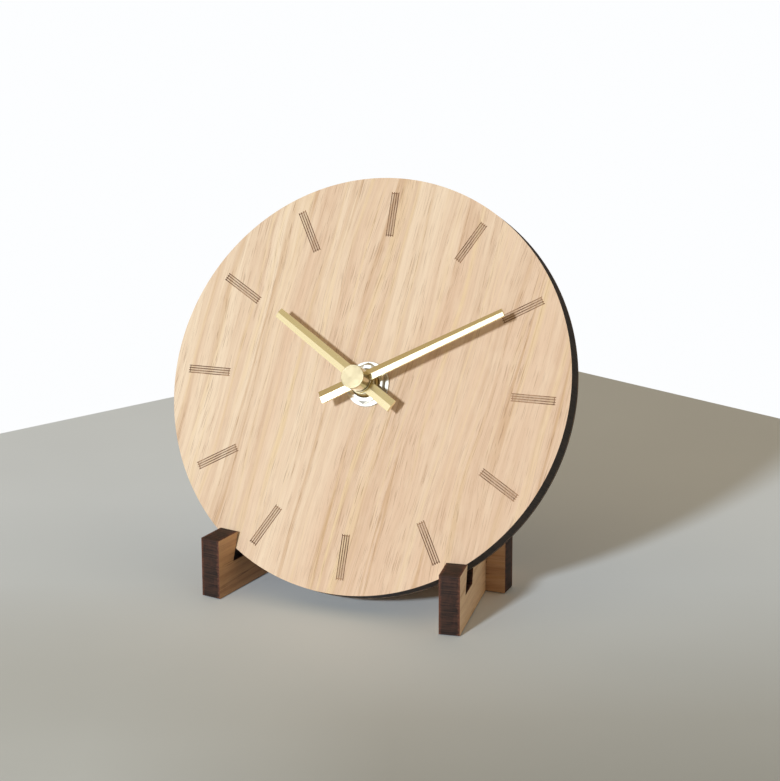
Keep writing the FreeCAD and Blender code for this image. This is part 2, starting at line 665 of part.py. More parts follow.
def hands():
    gap = size("pressed_gap")
    through = 2 * size("cap_top")
    base = size("hour_base")
    shape = [
        blade(size("hour_reach"), size("hour_back"), size("hour_tip"), size("hour_tail"), base),
        solid_rod(size("collet_radius"), base, base + size("boss_thick")),
    ]
    bore = solid_rod(size("collet_seat") + gap, 0, through)
    turning("hour_hand", shape, [bore], angle=-size("hour_angle"))
    collet = [
        solid_rod(size("collet_seat"), size("collet_foot"), size("collet_top")),
        solid_rod(size("collet_radius"), size("collet_foot"), base - gap),
    ]
    turning("hour_collet", collet, [solid_rod(HOUR_PIPE + gap, 0, through)])

    base = size("minute_base")
    shape = [
        blade(size("minute_reach"), size("minute_back"), size("minute_tip"), size("minute_tail"), base),
        solid_rod(size("cap_radius"), base, base + size("boss_thick")),
    ]
    neck = MINUTE_PIPE + 0.7
    turning("minute_hand", shape, [solid_rod(neck + gap, 0, through)], angle=-size("minute_angle"))
    rise = base + size("blade_ridge") + gap
    cap = [solid_rod(size("cap_radius"), rise, size("cap_top")), solid_rod(neck, base, rise)]
    inside = solid_rod(MINUTE_PIPE + gap, 0, size("cap_top") - size("cap_wall"))
    turning("minute_cap", cap, [inside])


# ---------------------------------------------------------------- movement case

def rounded(name, width, wall, depth, z, radius):
    """A block whose corners along z are rounded; it has a wall round the case's inner height."""
    box = block(name + "_box", width, f"case_low + case_high + 2 * ({wall})", depth, f"-({width}) / 2",
                f"-case_low - ({wall})", z)
    doc.recompute()
    upright = []
    for k, edge in enumerate(box.Shape.Edges, 1):
        start, end = edge.Vertexes[0].Point, edge.Vertexes[-1].Point
        if abs(start.z - end.z) > 1e-6:
            upright.append((k, number(radius), number(radius)))
    item = doc.addObject("Part::Fillet", name)
    item.Base = box
    item.Edges = upright
    return item


FACE_TEXT = "-dial_thick - gasket_thick"
INNER_TEXT = FACE_TEXT + " - case_wall"
COVER_TEXT = FACE_TEXT + " - case_depth"
POSTS = []


def case():
    """The front shell, the train plate on its posts, and the cover with the battery opening."""
    inset = size("post_inset")
    for x in (inset - HALF, HALF - inset):
        for y in (inset - RIB_LOW, CASE_HIGH - inset):
            POSTS.append((x, y))
    shell = rounded("shell_outside", "case_side", "case_wall", "case_depth", COVER_TEXT, "case_corner")
    room = rounded("shell_room", "case_side - 2 * case_wall", "0", "case_depth",
                   INNER_TEXT + " - case_depth", "case_corner - case_wall")
    extras, holes = [], []
    for k, (x, y) in enumerate(POSTS):
        extras.append(rod(f"post_{k}", "post_radius", "plate_depth - case_wall / 2", x, y,
                          "-dial_thick - gasket_thick - plate_depth"))
        holes.append(rod(f"post_hole_{k}", "screw_radius + pressed_gap", "screw_length + end_gap", x, y,
                         "-dial_thick - gasket_thick - plate_depth - end_gap"))
    extras.append(block("rib", "case_side - case_wall", "rib_thick", "case_depth - case_wall / 2",
                        "-case_side / 2 + case_wall / 2", "cell_radius + cell_play - cell_drop",
                        COVER_TEXT))
    stud = rod("stud", "arbor_radius", "2 * wheel_step + end_gap + case_wall / 2", INTER[0], INTER[1],
               INNER_TEXT + " - end_gap - 2 * wheel_step")
    extras.append(stud)
    holes.append(rod("bush_hole", "bush_radius + pressed_gap", "case_side", z="-case_side / 2"))
    for k, (x, y) in enumerate((THIRD, ROTOR, SETTING)):
        holes.append(rod(f"pivot_{k}", "pivot_radius + run_gap", "case_wall / 2", x, y, INNER_TEXT))
    hollow = cut("shell_hollow", shell, room)
    keep(cut("shell", fuse("shell_full", hollow, *extras), *holes), "case_front", CLOCK)

    room_corner = max(FREE, 0.35 * (size("case_corner") - size("case_wall")))
    width, plate_low = 2 * (HALF - room_corner), FREE / 3 - RIB_LOW
    plate = block("plate_slab", width, CASE_HIGH - room_corner - plate_low, "plate_thick", -width / 2,
                  plate_low, FACE_TEXT + " - plate_depth - plate_thick")
    holes = []
    bores = [(place, "screw_radius") for place in POSTS]
    bores += [((0.0, 0.0), "pivot_radius"), (THIRD, "pivot_radius"), (SETTING, "stem_radius")]
    bores.append((ROTOR, "rotor_pivot"))
    for k, ((x, y), radius) in enumerate(bores):
        holes.append(rod(f"plate_hole_{k}", radius + " + run_gap", "case_side", x, y, "-case_side"))
    keep(cut("train_slab", plate, *holes), "train_plate", CLOCK)

    screws = []
    low = FACE_TEXT + " - plate_depth - plate_thick"
    for k, (x, y) in enumerate(POSTS):
        shank = rod(f"shank_{k}", "screw_radius", "screw_length + plate_thick", x, y, low)
        head = rod(f"head_{k}", "screw_head", "head_thick", x, y, low + " - head_thick")
        drive = block(f"drive_{k}", "2 * screw_head", "screw_head / 4", "head_thick / 2",
                      f"{x} - screw_head", f"{y} - screw_head / 8", low + " - head_thick")
        screws.append(cut(f"screw_{k}", fuse(f"screw_blank_{k}", shank, head), drive))
    pack = doc.addObject("Part::Compound", "screws")
    pack.Links = screws
    keep(pack, "plate_screws", CLOCK)

    lid = rounded("lid", "case_side", "case_wall", "cover_thick", COVER_TEXT + " - cover_thick",
                  "case_corner")
    opening = "cell_length + nub_length + 2 * cell_play + 4 * contact_thick"
    bay = block("bay", opening, "2 * (cell_radius + cell_play)", "6 * cover_thick", f"-({opening}) / 2",
                "-cell_drop - cell_radius - cell_play", COVER_TEXT + " - 3 * cover_thick")
    stem = rod("lid_stem", "stem_radius + end_gap", "6 * cover_thick", SETTING[0], SETTING[1],
               COVER_TEXT + " - 3 * cover_thick")
    keep(cut("cover", lid, bay, stem), "rear_cover", CLOCK)


def battery():
    """The cell across the bottom of the case and the contacts at its two ends."""
    z = INNER_TEXT + " - cell_play - cell_radius"
    y = "-cell_drop"
    start = "-(cell_length + nub_length) / 2"
    can = rod("cell_can", "cell_radius", "cell_length", start, y, z, "x")
    nub = rod("cell_nub", "nub_radius", "nub_length + 1", f"{start} + cell_length - 1", y, z, "x")
    keep(fuse("cell", can, nub), "battery", CLOCK)
    for label, side in (("contact_plus", 1), ("contact_minus", -1)):
        wall = "case_side / 2 - case_wall - pressed_gap - contact_thick"
        near = "(cell_length + nub_length) / 2 + pressed_gap"
        back = block(label + "_back", "contact_thick", "contact_width", "contact_width",
                     wall if side > 0 else f"-({wall}) - contact_thick", f"{y} - contact_width / 2",
                     f"{z} - contact_width / 2")
        face = block(label + "_face", "contact_thick", "contact_width", "contact_width",
                     near if side > 0 else f"-({near}) - contact_thick", f"{y} - contact_width / 2",
                     f"{z} - contact_width / 2")
        leg_x = near if side > 0 else f"-({wall}) - contact_thick"
        leg = block(label + "_leg", f"{wall} - ({near}) + contact_thick", "contact_width", "contact_thick",
                    leg_x, f"{y} - contact_width / 2", f"{z} + contact_width / 2 - contact_thick")
        keep(fuse(label + "_strip", back, face, leg), label, CLOCK)


def electronics():
    """The circuit board behind the train plate, and the coil and stator that drive the rotor."""
    board_z = FACE_TEXT + " - board_depth - board_plate"
    board = block("board_blank", "board_width", "board_height", "board_plate", "board_x - board_width / 2",
                  "board_y - board_height / 2", board_z)
    keep(board, "circuit_board", CLOCK)
    can = rod("crystal_can", "crystal_radius", "crystal_length", "board_x + chip_side",
              "board_y", f"{board_z} - crystal_radius - pressed_gap", "x")
    keep(can, "quartz_crystal", CLOCK)
    chip = block("chip_body", "chip_side", "chip_side", "chip_thick",
                 "board_x - board_width / 4 - chip_side / 2", "board_y - chip_side / 2",
                 f"{board_z} - pressed_gap - chip_thick")
    keep(chip, "clock_chip", CLOCK)

    x, y, z = ROTOR[0], COIL_Y, MAGNET_MID
    inner = "coil_length / 2 + flange_thick + end_gap"
    thick = "stator_thick"
    low = f"{z} - stator_thick / 2"
    yoke = "magnet_radius + air_gap + yoke_rim"
    bar = block("stator_bar", f"2 * ({inner}) + 2 * stator_arm", "core_width", thick,
                f"{x} - ({inner}) - stator_arm", f"{y} - core_width / 2", low)
    parts = [bar]
    for name, side in (("left", -1), ("right", 1)):
        arm_x = f"{x} + {inner}" if side > 0 else f"{x} - ({inner}) - stator_arm"
        arm_length = f"stator_height + core_width / 2 + {yoke}"
        parts.append(block(f"stator_{name}", "stator_arm", arm_length, thick, arm_x,
                           f"{ROTOR[1]} - ({yoke})", low))
    parts.append(block("stator_yoke", f"2 * ({inner}) + stator_arm", f"2 * ({yoke})", thick,
                       f"{x} - ({inner}) - stator_arm / 2", f"{ROTOR[1]} - ({yoke})", low))
    hole = rod("stator_hole", "magnet_radius + air_gap", "4 * stator_thick", ROTOR[0], ROTOR[1],
               f"{z} - 2 * stator_thick")
    keep(cut("stator_plate", fuse("stator_blank", *parts), hole), "stator", CLOCK)

    tube_radius = "core_width / 2 + tube_wall"
    tube = rod("bobbin_tube", tube_radius, "coil_length + flange_thick",
               f"{x} - (coil_length + flange_thick) / 2", y, z, "x")
    ends = []
    for name, side in (("left", -1), ("right", 1)):
        start = f"{x} + coil_length / 2" if side > 0 else f"{x} - coil_length / 2 - flange_thick"
        ends.append(rod(f"flange_{name}", "coil_radius + flange_lip", "flange_thick", start, y, z, "x"))
    slot = block("bobbin_slot", "2 * coil_length", "core_width + 2 * run_gap", "stator_thick + 2 * run_gap",
                 f"{x} - coil_length", f"{y} - core_width / 2 - run_gap", f"{low} - run_gap")
    keep(cut("bobbin", fuse("bobbin_blank", tube, *ends), slot), "coil_bobbin", CLOCK)
    outer = rod("winding_outer", "coil_radius", "coil_length - 2 * run_gap",
                f"{x} - coil_length / 2 + run_gap", y, z, "x")
    inner_bore = rod("winding_bore", f"{tube_radius} + run_gap", "2 * coil_length",
                     f"{x} - coil_length", y, z, "x")
    keep(cut("winding", outer, inner_bore), "coil_winding", CLOCK)


foot("foot_left", -1)
foot("foot_right", 1)
cross_board()
dial_core()
veneer_front()
veneer_back()
clamp()
case()
battery()
electronics()
train()
hands()
doc.recompute()

os.makedirs("parts", exist_ok=True)
for piece in PARTS:
    if {"Invalid", "Error"} & set(piece.State):
        raise RuntimeError(f"{piece.Label}: {piece.State}")
    if piece.Shape.isNull() or not piece.Shape.isValid():
        raise RuntimeError(f"{piece.Label}: no valid shape")
    piece.Shape.exportStep(f"parts/{piece.Label}.step")
print(f"{len(PARTS)} pieces")
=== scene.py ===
import json
import math

import bmesh
import bpy
from mathutils import Matrix, Vector, geometry


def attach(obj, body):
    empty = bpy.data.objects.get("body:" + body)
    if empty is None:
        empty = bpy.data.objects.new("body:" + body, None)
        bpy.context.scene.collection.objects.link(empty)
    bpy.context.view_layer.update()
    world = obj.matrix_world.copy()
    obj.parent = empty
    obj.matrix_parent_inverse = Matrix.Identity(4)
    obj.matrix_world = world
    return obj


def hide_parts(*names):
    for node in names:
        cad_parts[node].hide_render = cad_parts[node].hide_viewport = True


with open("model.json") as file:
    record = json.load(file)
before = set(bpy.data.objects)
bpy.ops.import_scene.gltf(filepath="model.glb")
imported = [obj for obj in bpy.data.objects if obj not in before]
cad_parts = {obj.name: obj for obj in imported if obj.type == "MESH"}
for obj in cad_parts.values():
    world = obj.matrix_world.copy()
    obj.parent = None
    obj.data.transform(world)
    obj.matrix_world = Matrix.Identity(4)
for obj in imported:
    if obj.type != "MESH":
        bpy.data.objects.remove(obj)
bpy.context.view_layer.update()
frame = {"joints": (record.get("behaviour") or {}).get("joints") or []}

MM = 0.001
TAU = 2 * math.pi
DIAL_TURN = 2.0  # degrees by which the dial's twelve is turned out of the lift direction


def joint(name):
    return next(j for j in frame["joints"] if j["name"] == name)


def clock_matrix():
    """From the clock's own millimetres to the shared frame in metres.

    The clock's x is right, y up the dial and z out of it, with the zero on the dial's face."""
    z = Vector(joint("minute_turn")["axis"])
    up = Vector(joint("clock_lift")["axis"])
    turn = Matrix.Rotation(math.radians(DIAL_TURN), 3, z)
    x, y = turn @ up.cross(z), turn @ up
    axes = Matrix((x, y, z)).transposed().to_4x4()
    middle = Vector(joint("minute_turn")["pos_m"])
    return Matrix.Translation(middle) @ axes @ Matrix.Scale(MM, 4)


CLOCK = clock_matrix()
ROOM = Matrix.Scale(MM, 4)


# ---------------------------------------------------------------- node helpers

def srgb(*values):
    """Linear colour of an 8-bit one."""
    out = []
    for v in values:
        v /= 255
        out.append(v / 12.92 if v <= 0.04045 else ((v + 0.055) / 1.055) ** 2.4)
    return (*out, 1.0)


class Nodes:
    """Builds the node tree of a material or a world."""

    def __init__(self, owner):
        owner.use_nodes = True
        self.owner = owner
        self.tree = owner.node_tree
        self.shader = self.tree.nodes.get("Principled BSDF")
        self.column = 0

    def add(self, kind, **values):
        node = self.tree.nodes.new(kind)
        self.column += 1
        node.location = (-200 * self.column, 0)
        for key, value in values.items():
            setattr(node, key, value)
        return node

    def feed(self, socket, value):
        """Link an output to a socket, or set the socket to a constant."""
        if hasattr(value, "is_output"):
            self.tree.links.new(value, socket)
        else:
            socket.default_value = value

    def place(self, matrix):
        """Coordinates in a board's own frame, in millimetres."""
        coords = self.add("ShaderNodeTexCoord").outputs["Object"]
        node = self.add("ShaderNodeMapping", vector_type="TEXTURE")
        node.inputs["Location"].default_value = matrix.translation
        node.inputs["Rotation"].default_value = matrix.to_3x3().normalized().to_euler("XYZ")
        node.inputs["Scale"].default_value = (MM, MM, MM)
        self.feed(node.inputs["Vector"], coords)
        return node.outputs[0]

    def noise(self, vector, scale, detail=3.0, rough=0.6, distortion=0.0):
        """Noise, finer with a larger scale; three scales stretch it along the three axes."""
        if isinstance(scale, tuple):
            stretch = self.add("ShaderNodeMapping")
            stretch.inputs["Scale"].default_value = scale
            self.feed(stretch.inputs["Vector"], vector)
            vector, scale = stretch.outputs[0], 1.0
        node = self.add("ShaderNodeTexNoise")
        self.feed(node.inputs["Vector"], vector)
        node.inputs["Scale"].default_value = scale
        node.inputs["Detail"].default_value = detail
        node.inputs["Roughness"].default_value = rough
        node.inputs["Distortion"].default_value = distortion
        return node.outputs["Fac"]

    def ramp(self, value, *stops):
        """A ramp through (place, colour or grey) stops."""
        node = self.add("ShaderNodeValToRGB")
        self.feed(node.inputs["Fac"], value)
        points = node.color_ramp.elements
        while len(points) < len(stops):
            points.new(0.5)
        for point, (spot, colour) in zip(points, stops):
            point.position = spot
            point.color = colour if isinstance(colour, tuple) else (colour, colour, colour, 1)
        return node.outputs["Color"]

    def rise(self, value, low, high, most=1.0):
        """From 0 where a value is `low` up to `most` where it is `high`."""
        share = self.ramp(value, (low, 0.0), (high, 1.0))
        return share if most == 1.0 else self.math("MULTIPLY", share, most)

    def mix(self, factor, a, b, how="MIX"):
        node = self.add("ShaderNodeMix", data_type="RGBA", blend_type=how)
        self.feed(node.inputs["Factor"], factor)
        # The node has an A, a B and a result for each kind of value; these are the colours.
        self.feed(node.inputs[6], a)
        self.feed(node.inputs[7], b)
        return node.outputs[2]

    def math(self, how, a, b=0.0, c=0.0):
        node = self.add("ShaderNodeMath", operation=how)
        for socket, value in zip(node.inputs, (a, b, c)):
            self.feed(socket, value)
        return node.outputs[0]

    def vector(self, how, *values, out="Vector"):
        """A vector operation; `out` is Value where it gives a number."""
        node = self.add("ShaderNodeVectorMath", operation=how)
        for socket, value in zip(node.inputs, values):
            self.feed(socket, value)
        return node.outputs[out]

    def along_x(self, value):
        """The vector that has a number as its x and nothing else."""
        node = self.add("ShaderNodeCombineXYZ")
        self.feed(node.inputs["X"], value)
        return node.outputs[0]

    def split(self, vector):
        node = self.add("ShaderNodeSeparateXYZ")
        self.feed(node.inputs[0], vector)
        return node.outputs

    def bump(self, height, strength, distance):
        node = self.add("ShaderNodeBump")
        node.inputs["Strength"].default_value = strength
        node.inputs["Distance"].default_value = distance
        self.feed(node.inputs["Height"], height)
        self.feed(self.shader.inputs["Normal"], node.outputs[0])

    def set(self, **values):
        for key, value in values.items():
            self.feed(self.shader.inputs[key.replace("_", " ")], value)
        return self.owner


def material_nodes(name):
    return Nodes(bpy.data.materials.new(name))


# ---------------------------------------------------------------- materials

SCORCH = srgb(88, 56, 34)


def patches(n, flat):
    """Where the laser burnt lightly (1) and where strongly (0)."""
    return n.rise(n.noise(flat, (0.11, 0.11, 0.11), 2.0, 0.5), 0.43, 0.56)


def oak(name, board, light, mid, dark, pore, straw, ring, scorch=0.0, uneven=0.0):
    """Straight-grained oak with a little painted shade across it; the grain runs along the board
    frame's y.

    Scorched wood is darkened by `scorch`, and by `uneven` more where its lines are faint."""
    n = material_nodes(name)
    flat = n.place(board)
    bend = n.noise(flat, (0.045, 0.010, 0.05), 2.0, 0.55)
    grain = n.vector("ADD", flat, n.along_x(n.math("MULTIPLY_ADD", bend, 9.0, -4.5)))

    broad = n.noise(grain, (0.09, 0.004, 0.08), 2.0, 0.5)
    middle = n.noise(grain, (0.33, 0.009, 0.2))
    yellow = n.noise(grain, (0.42, 0.007, 0.3), 2.0, 0.55, 0.2)
    streak = n.noise(grain, (1.1, 0.020, 0.5), 4.0, 0.65)
    fine = n.noise(grain, (3.2, 0.07, 1.2))
    hairs = n.noise(grain, (5.2, 0.12, 2.0), 2.0, 0.5, 0.3)
    where = n.noise(grain, (0.20, 0.012, 0.2))
    cloud = n.noise(grain, (0.25, 0.10, 0.2))
    rings = n.noise(grain, (0.15, 0.0035, 0.1), 2.0, 0.5)
    rings = n.math("PINGPONG", n.math("MULTIPLY", rings, 8.0), 1.0)

    # Painted shade: the board is made a little darker to the right, where less light falls on it,
    # and it is also lighter towards its top.
    sides = n.split(flat)
    broad = n.math("MULTIPLY_ADD", sides["X"], 0.003, broad)
    broad = n.math("MULTIPLY_ADD", sides["Y"], -0.001, broad)

    colour = n.mix(n.rise(broad, 0.31, 0.61), light, mid)
    for value, low, high, most, tone in (
        (middle, 0.46, 0.74, 0.75, dark),
        (yellow, 0.54, 0.70, 0.60, straw),
        (streak, 0.46, 0.76, 0.42, dark),
        (fine, 0.45, 0.72, 0.22, dark),
        (cloud, 0.50, 0.75, 0.30, light),
    ):
        colour = n.mix(n.rise(value, low, high, most), colour, tone)

    # Ring lines, and pores in them and in the beds between.
    beds = n.rise(where, 0.44, 0.66)
    lines = n.ramp(rings, (0.74, 0.0), (0.95, 1.0), (1.0, 0.8))
    drawn = n.math("MULTIPLY", lines, n.math("MULTIPLY_ADD", beds, 0.52, 0.12))
    colour = n.mix(drawn, colour, ring)
    porous = n.math("MULTIPLY_ADD", n.math("MAXIMUM", beds, lines), 0.44, 0.16)
    pores = n.math("MULTIPLY", n.rise(hairs, 0.575, 0.64), porous)
    colour = n.mix(pores, colour, pore)
    if scorch:
        colour = n.mix(n.math("MULTIPLY_ADD", patches(n, flat), uneven, scorch), colour, SCORCH)
    n.bump(n.math("MULTIPLY_ADD", pores, -1.0, fine), 0.22, 0.00012)
    return n.set(Base_Color=colour, Roughness=0.62, Specular_IOR_Level=0.3)


def charred(name, board, base, warm, deep, border=None):
    """A laser-cut edge: near-black, with fine lines across the board's thickness.

    With a border colour it turns redder towards both sides of the board."""
    n = material_nodes(name)
    flat = n.place(board)
    lines = n.noise(flat, (0.08, 2.0, 2.0) if border else (3.2, 3.2, 0.05))
    patch = n.noise(flat, (0.22, 0.22, 0.22))
    spots = n.noise(flat, (1.2, 1.2, 0.7))
    colour = n.mix(n.rise(lines, 0.38, 0.62), deep, base)
    colour = n.mix(n.rise(patch, 0.45, 0.7, 0.5 if border else 0.7), colour, warm)
    colour = n.mix(n.rise(spots, 0.5, 0.7, 0.35), colour, deep)
    if border:
        rough = n.noise(flat, (0.8, 1.4, 1.4), 3.0, 0.65)
        reach = n.math("MULTIPLY_ADD", rough, 2.4, n.math("ABSOLUTE", n.split(flat)["X"]))
        near = n.rise(n.math("MULTIPLY", reach, 0.2), 0.68, 0.86, 0.75)
        colour = n.mix(near, colour, border)
    n.bump(lines, 0.5, 0.00015)
    return n.set(Base_Color=colour, Roughness=0.7, Specular_IOR_Level=0.25)


def engraved(name, board, strong, faint, deep):
    """The burnt floor of the engraved lines, in places hardly darker than the wood."""
    n = material_nodes(name)
    flat = n.place(board)
    spots = n.noise(flat, (1.3, 1.3, 1.3))
    colour = n.mix(patches(n, flat), strong, faint)
    colour = n.mix(n.rise(spots, 0.5, 0.68, 0.6), colour, deep)
    n.bump(spots, 0.4, 0.0001)
    return n.set(Base_Color=colour, Roughness=0.7, Specular_IOR_Level=0.25)


def metal(name, colour, rough, brushed=0.0, lathed=0.0):
    """Metal with a faint haze; brushed along the clock's z, or lathed in rings round it."""
    n = material_nodes(name)
    flat = n.place(CLOCK)
    haze = n.noise(flat, (0.9, 0.9, 0.9))
    low, high = rough * 0.85, rough * 1.2
    value = n.math("MULTIPLY_ADD", haze, high - low, low)
    if brushed:
        n.bump(n.noise(flat, (14.0, 14.0, 0.6), 2.0), brushed, 0.00002)
    if lathed:
        level = n.vector("MULTIPLY", flat, (1.0, 1.0, 0.0))
        radius = n.along_x(n.vector("LENGTH", level, out="Value"))
        n.bump(n.noise(radius, (9.0, 1.0, 1.0), 2.0), lathed, 0.00003)
    return n.set(Base_Color=colour, Metallic=1.0, Roughness=value)


def plastic(name, colour, rough, grain=0.0):
    """Moulded plastic, a little uneven in tone and gloss, with or without a fine grain."""
    n = material_nodes(name)
    flat = n.place(CLOCK)
    broad = n.noise(flat, (0.12, 0.12, 0.12))
    darker = tuple(c * 0.8 for c in colour[:3]) + (1,)
    tint = n.mix(n.math("MULTIPLY", broad, 0.35), colour, darker)
    if grain:
        n.bump(n.noise(flat, (7.0, 7.0, 7.0), 2.0), grain, 0.00004)
    return n.set(Base_Color=tint, Roughness=n.math("MULTIPLY_ADD", broad, 0.12, rough - 0.06))


def oak_tones(light, mid, dark, pore, straw, ring):
    """The six tones of a piece of oak, from 8-bit colours."""
    return dict(light=srgb(*light), mid=srgb(*mid), dark=srgb(*dark), pore=srgb(*pore),
                straw=srgb(*straw), ring=srgb(*ring))


DIAL_OAK = oak_tones((237, 214, 187), (226, 195, 167), (204, 167, 136), (150, 110, 80),
                     (230, 202, 156), (192, 150, 108))
# Painted shade: the left foot and the cross board, which stand in shade, get darker copies of the
# right foot's oak.
SIDE_OAK_WITH_SHADE = {
    "foot_left": oak_tones((206, 164, 122), (186, 142, 100), (158, 112, 76), (112, 74, 50),
                           (196, 154, 104), (140, 98, 62)),
    "foot_right": oak_tones((238, 208, 172), (226, 192, 154), (208, 168, 130), (166, 122, 88),
                            (226, 194, 146), (190, 148, 106)),
    "cross_board": oak_tones((218, 182, 146), (204, 166, 130), (172, 130, 96), (112, 74, 50),
                             (204, 162, 112), (146, 100, 64)),
}
LEAN = Matrix.Rotation(math.radians(-8.0), 4, "Z")  # of the grain, from the dial's twelve
FACE_GRAIN = CLOCK @ LEAN
BACK_GRAIN = CLOCK @ Matrix.Translation((31, 17, 40)) @ LEAN  # another part of the figure

face_oak = oak("face_oak", FACE_GRAIN, **DIAL_OAK)
mark_oak = oak("mark_oak", FACE_GRAIN, **DIAL_OAK, scorch=0.13, uneven=0.11)
back_oak = oak("back_oak", BACK_GRAIN, **DIAL_OAK)
groove_burn = engraved("groove_burn", FACE_GRAIN, srgb(112, 73, 47), srgb(176, 136, 103),
                       srgb(80, 50, 33))
rim_char = charred("rim_char", CLOCK, srgb(58, 48, 42), srgb(70, 54, 44), srgb(34, 28, 26))

brass = metal("brass", srgb(236, 226, 190), 0.25, brushed=0.08)
brass_turned = metal("brass_turned", srgb(228, 213, 176), 0.24, lathed=0.35)
nickel = metal("nickel", srgb(222, 219, 212), 0.32)
bush_metal = metal("bush_metal", srgb(190, 165, 110), 0.35)
steel = metal("steel", srgb(190, 190, 190), 0.3)
copper = metal("copper", srgb(196, 110, 62), 0.32)
spring = metal("spring", srgb(214, 212, 204), 0.26, brushed=0.06)

rubber = plastic("rubber", srgb(26, 26, 26), 0.75, 0.3)
black_plastic = plastic("black_plastic", srgb(44, 44, 46), 0.42, 0.5)
cover_plastic = plastic("cover_plastic", srgb(52, 52, 54), 0.36, 0.35)
knob_plastic = plastic("knob_plastic", srgb(84, 84, 86), 0.36, 0.15)
white_plastic = plastic("white_plastic", srgb(226, 224, 214), 0.4)
wrap_dark = plastic("wrap_dark", srgb(38, 74, 84), 0.35)
wrap_light = plastic("wrap_light", srgb(206, 208, 204), 0.35)
gear_white = plastic("gear_white", srgb(232, 228, 214), 0.38)
gear_black = plastic("gear_black", srgb(40, 40, 42), 0.4)
board_green = plastic("board_green", srgb(34, 92, 58), 0.45, 0.2)
epoxy = plastic("epoxy", srgb(22, 22, 24), 0.6, 0.4)


# ---------------------------------------------------------------- mesh helpers

def piece(bm, name, materials, body, nodes=(), matrix=CLOCK, smooth=35):
    """Turn a mesh in local millimetres into a piece; edges over `smooth` degrees stay sharp."""
    bmesh.ops.recalc_face_normals(bm, faces=bm.faces)
    bm.transform(matrix)
    mesh = bpy.data.meshes.new(name)
    bm.to_mesh(mesh)
    bm.free()
    thing = bpy.data.objects.new(name, mesh)
    bpy.context.scene.collection.objects.link(thing)
    for material in materials:
        mesh.materials.append(material)
    mesh.shade_smooth()
    sharp = math.radians(smooth)
    work = bmesh.new()
    work.from_mesh(mesh)
    for edge in work.edges:
        if len(edge.link_faces) == 2 and edge.calc_face_angle() > sharp:
            edge.smooth = False
    work.to_mesh(mesh)
    work.free()
    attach(thing, body)
    if nodes:
        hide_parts(*nodes)


def circle(radius, count, x=0.0, y=0.0):
    return [(x + radius * math.cos(TAU * k / count), y + radius * math.sin(TAU * k / count))
            for k in range(count)]


def box(x0, y0, x1, y1):
    return [(x0, y0), (x1, y0), (x1, y1), (x0, y1)]


def rounded_box(x0, y0, x1, y1, radius, steps=8):
    out = []
    for cx, cy, start in ((x1, y0, -90), (x1, y1, 0), (x0, y1, 90), (x0, y0, 180)):
        cx += radius if cx == x0 else -radius
        cy += radius if cy == y0 else -radius
        for k in range(steps + 1):
            a = math.radians(start + 90 * k / steps)
            out.append((cx + radius * math.cos(a), cy + radius * math.sin(a)))
    return out


def within(point, shape):
    """Whether a point lies in a closed outline."""
    x, y = point
    odd = False
    for k, (ax, ay) in enumerate(shape):
        bx, by = shape[k - 1]
        if (ay > y) != (by > y) and x < (bx - ax) * (y - ay) / (by - ay) + ax:
            odd = not odd
    return odd


def turned(profile):
    """Profile corners with small 45-degree breaks: (radius, height, break)."""
    out = []
    count = len(profile)
    for k, (r, z, cut) in enumerate(profile):
        if not cut:
            out.append((r, z))
            continue
        for other in (profile[k - 1], profile[(k + 1) % count]):
            dr, dz = other[0] - r, other[1] - z
            length = math.hypot(dr, dz) or 1
            out.append((r + dr / length * cut, z + dz / length * cut))
    return out


def revolve(profile, steps=96, closed=True):
    """A solid round z from (radius, height) corners, or a function giving them at an angle.

    A closed profile makes a ring."""
    bm = bmesh.new()
    rings = []
    for k in range(steps):
        a = TAU * k / steps
        corners = profile(a) if callable(profile) else profile
        rings.append([bm.verts.new((r * math.cos(a), r * math.sin(a), z)) for r, z in corners])
    count = len(rings[0])
    for k in range(steps):
        here, there = rings[k], rings[(k + 1) % steps]
        for j in range(count if closed else count - 1):
            m = (j + 1) % count
            bm.faces.new((here[j], there[j], there[m], here[m]))
    bmesh.ops.remove_doubles(bm, verts=bm.verts, dist=1e-5)
    return bm


def relief(loops, height, floor, kind=lambda middle: 0, wall=lambda a, b: 0):
    """A plate that is flat at `floor`, with outlines that part it into regions.

    `height` gives a region's height from a point in it, or None for a hole; `kind` gives its
    material, and `wall` that of a wall between two heights."""
    points, edges, at = [], [], {}
    for shape in loops:
        spots = []
        for x, y in shape:
            key = (round(x, 5), round(y, 5))
            if key not in at:
                at[key] = len(points)
                points.append(Vector((x, y)))
            spots.append(at[key])
        edges += [(a, b) for a, b in zip(spots, spots[1:] + spots[:1]) if a != b]
    flat, _, faces, *_ = geometry.delaunay_2d_cdt(points, edges, [], 0, 1e-6)
    bm = bmesh.new()
    made, sides = {}, {}

    def vert(k, z):
        key = (k, round(z, 5))
        if key not in made:
            made[key] = bm.verts.new((flat[k].x, flat[k].y, z))
        return made[key]

    for face in faces:
        middle = sum((flat[k] for k in face), Vector((0, 0))) / len(face)
        z = height(middle)
        if z is None:
            continue
        bm.faces.new([vert(k, z) for k in face]).material_index = kind(middle)
        bm.faces.new([vert(k, floor) for k in reversed(face)])
        for a, b in zip(face, face[1:] + face[:1]):
            sides.setdefault((min(a, b), max(a, b)), []).append(z)
    for (a, b), heights in sides.items():
        h, g = (heights + [floor])[:2]
        if abs(h - g) > 1e-6:
            side = bm.faces.new((vert(a, h), vert(b, h), vert(b, g), vert(a, g)))
            side.material_index = wall(h, g)
    return bm


# ---------------------------------------------------------------- dial

RADIUS, THICK, VENEER, HOLE = 60.0, 6.5, 0.6, 4.3
HOLE_SIDES = 64
RIM_WAVE = 0.02
# The marks' ends and width, and their engraved lines' number, width and depth.
MARK_IN, MARK_OUT, MARK_WIDE = 42.9, 55.9, 2.3
LINES, LINE, LINE_DEEP = 4, 0.24, 0.16
# The short cross lines: their width, and how far they lie inside a mark's ends.
CAP, CAP_IN = 0.2, 0.3
# The face veneer's materials, in the order of their slots.
PLAIN, MARKED, GROOVED, RIM = 0, 1, 2, 3


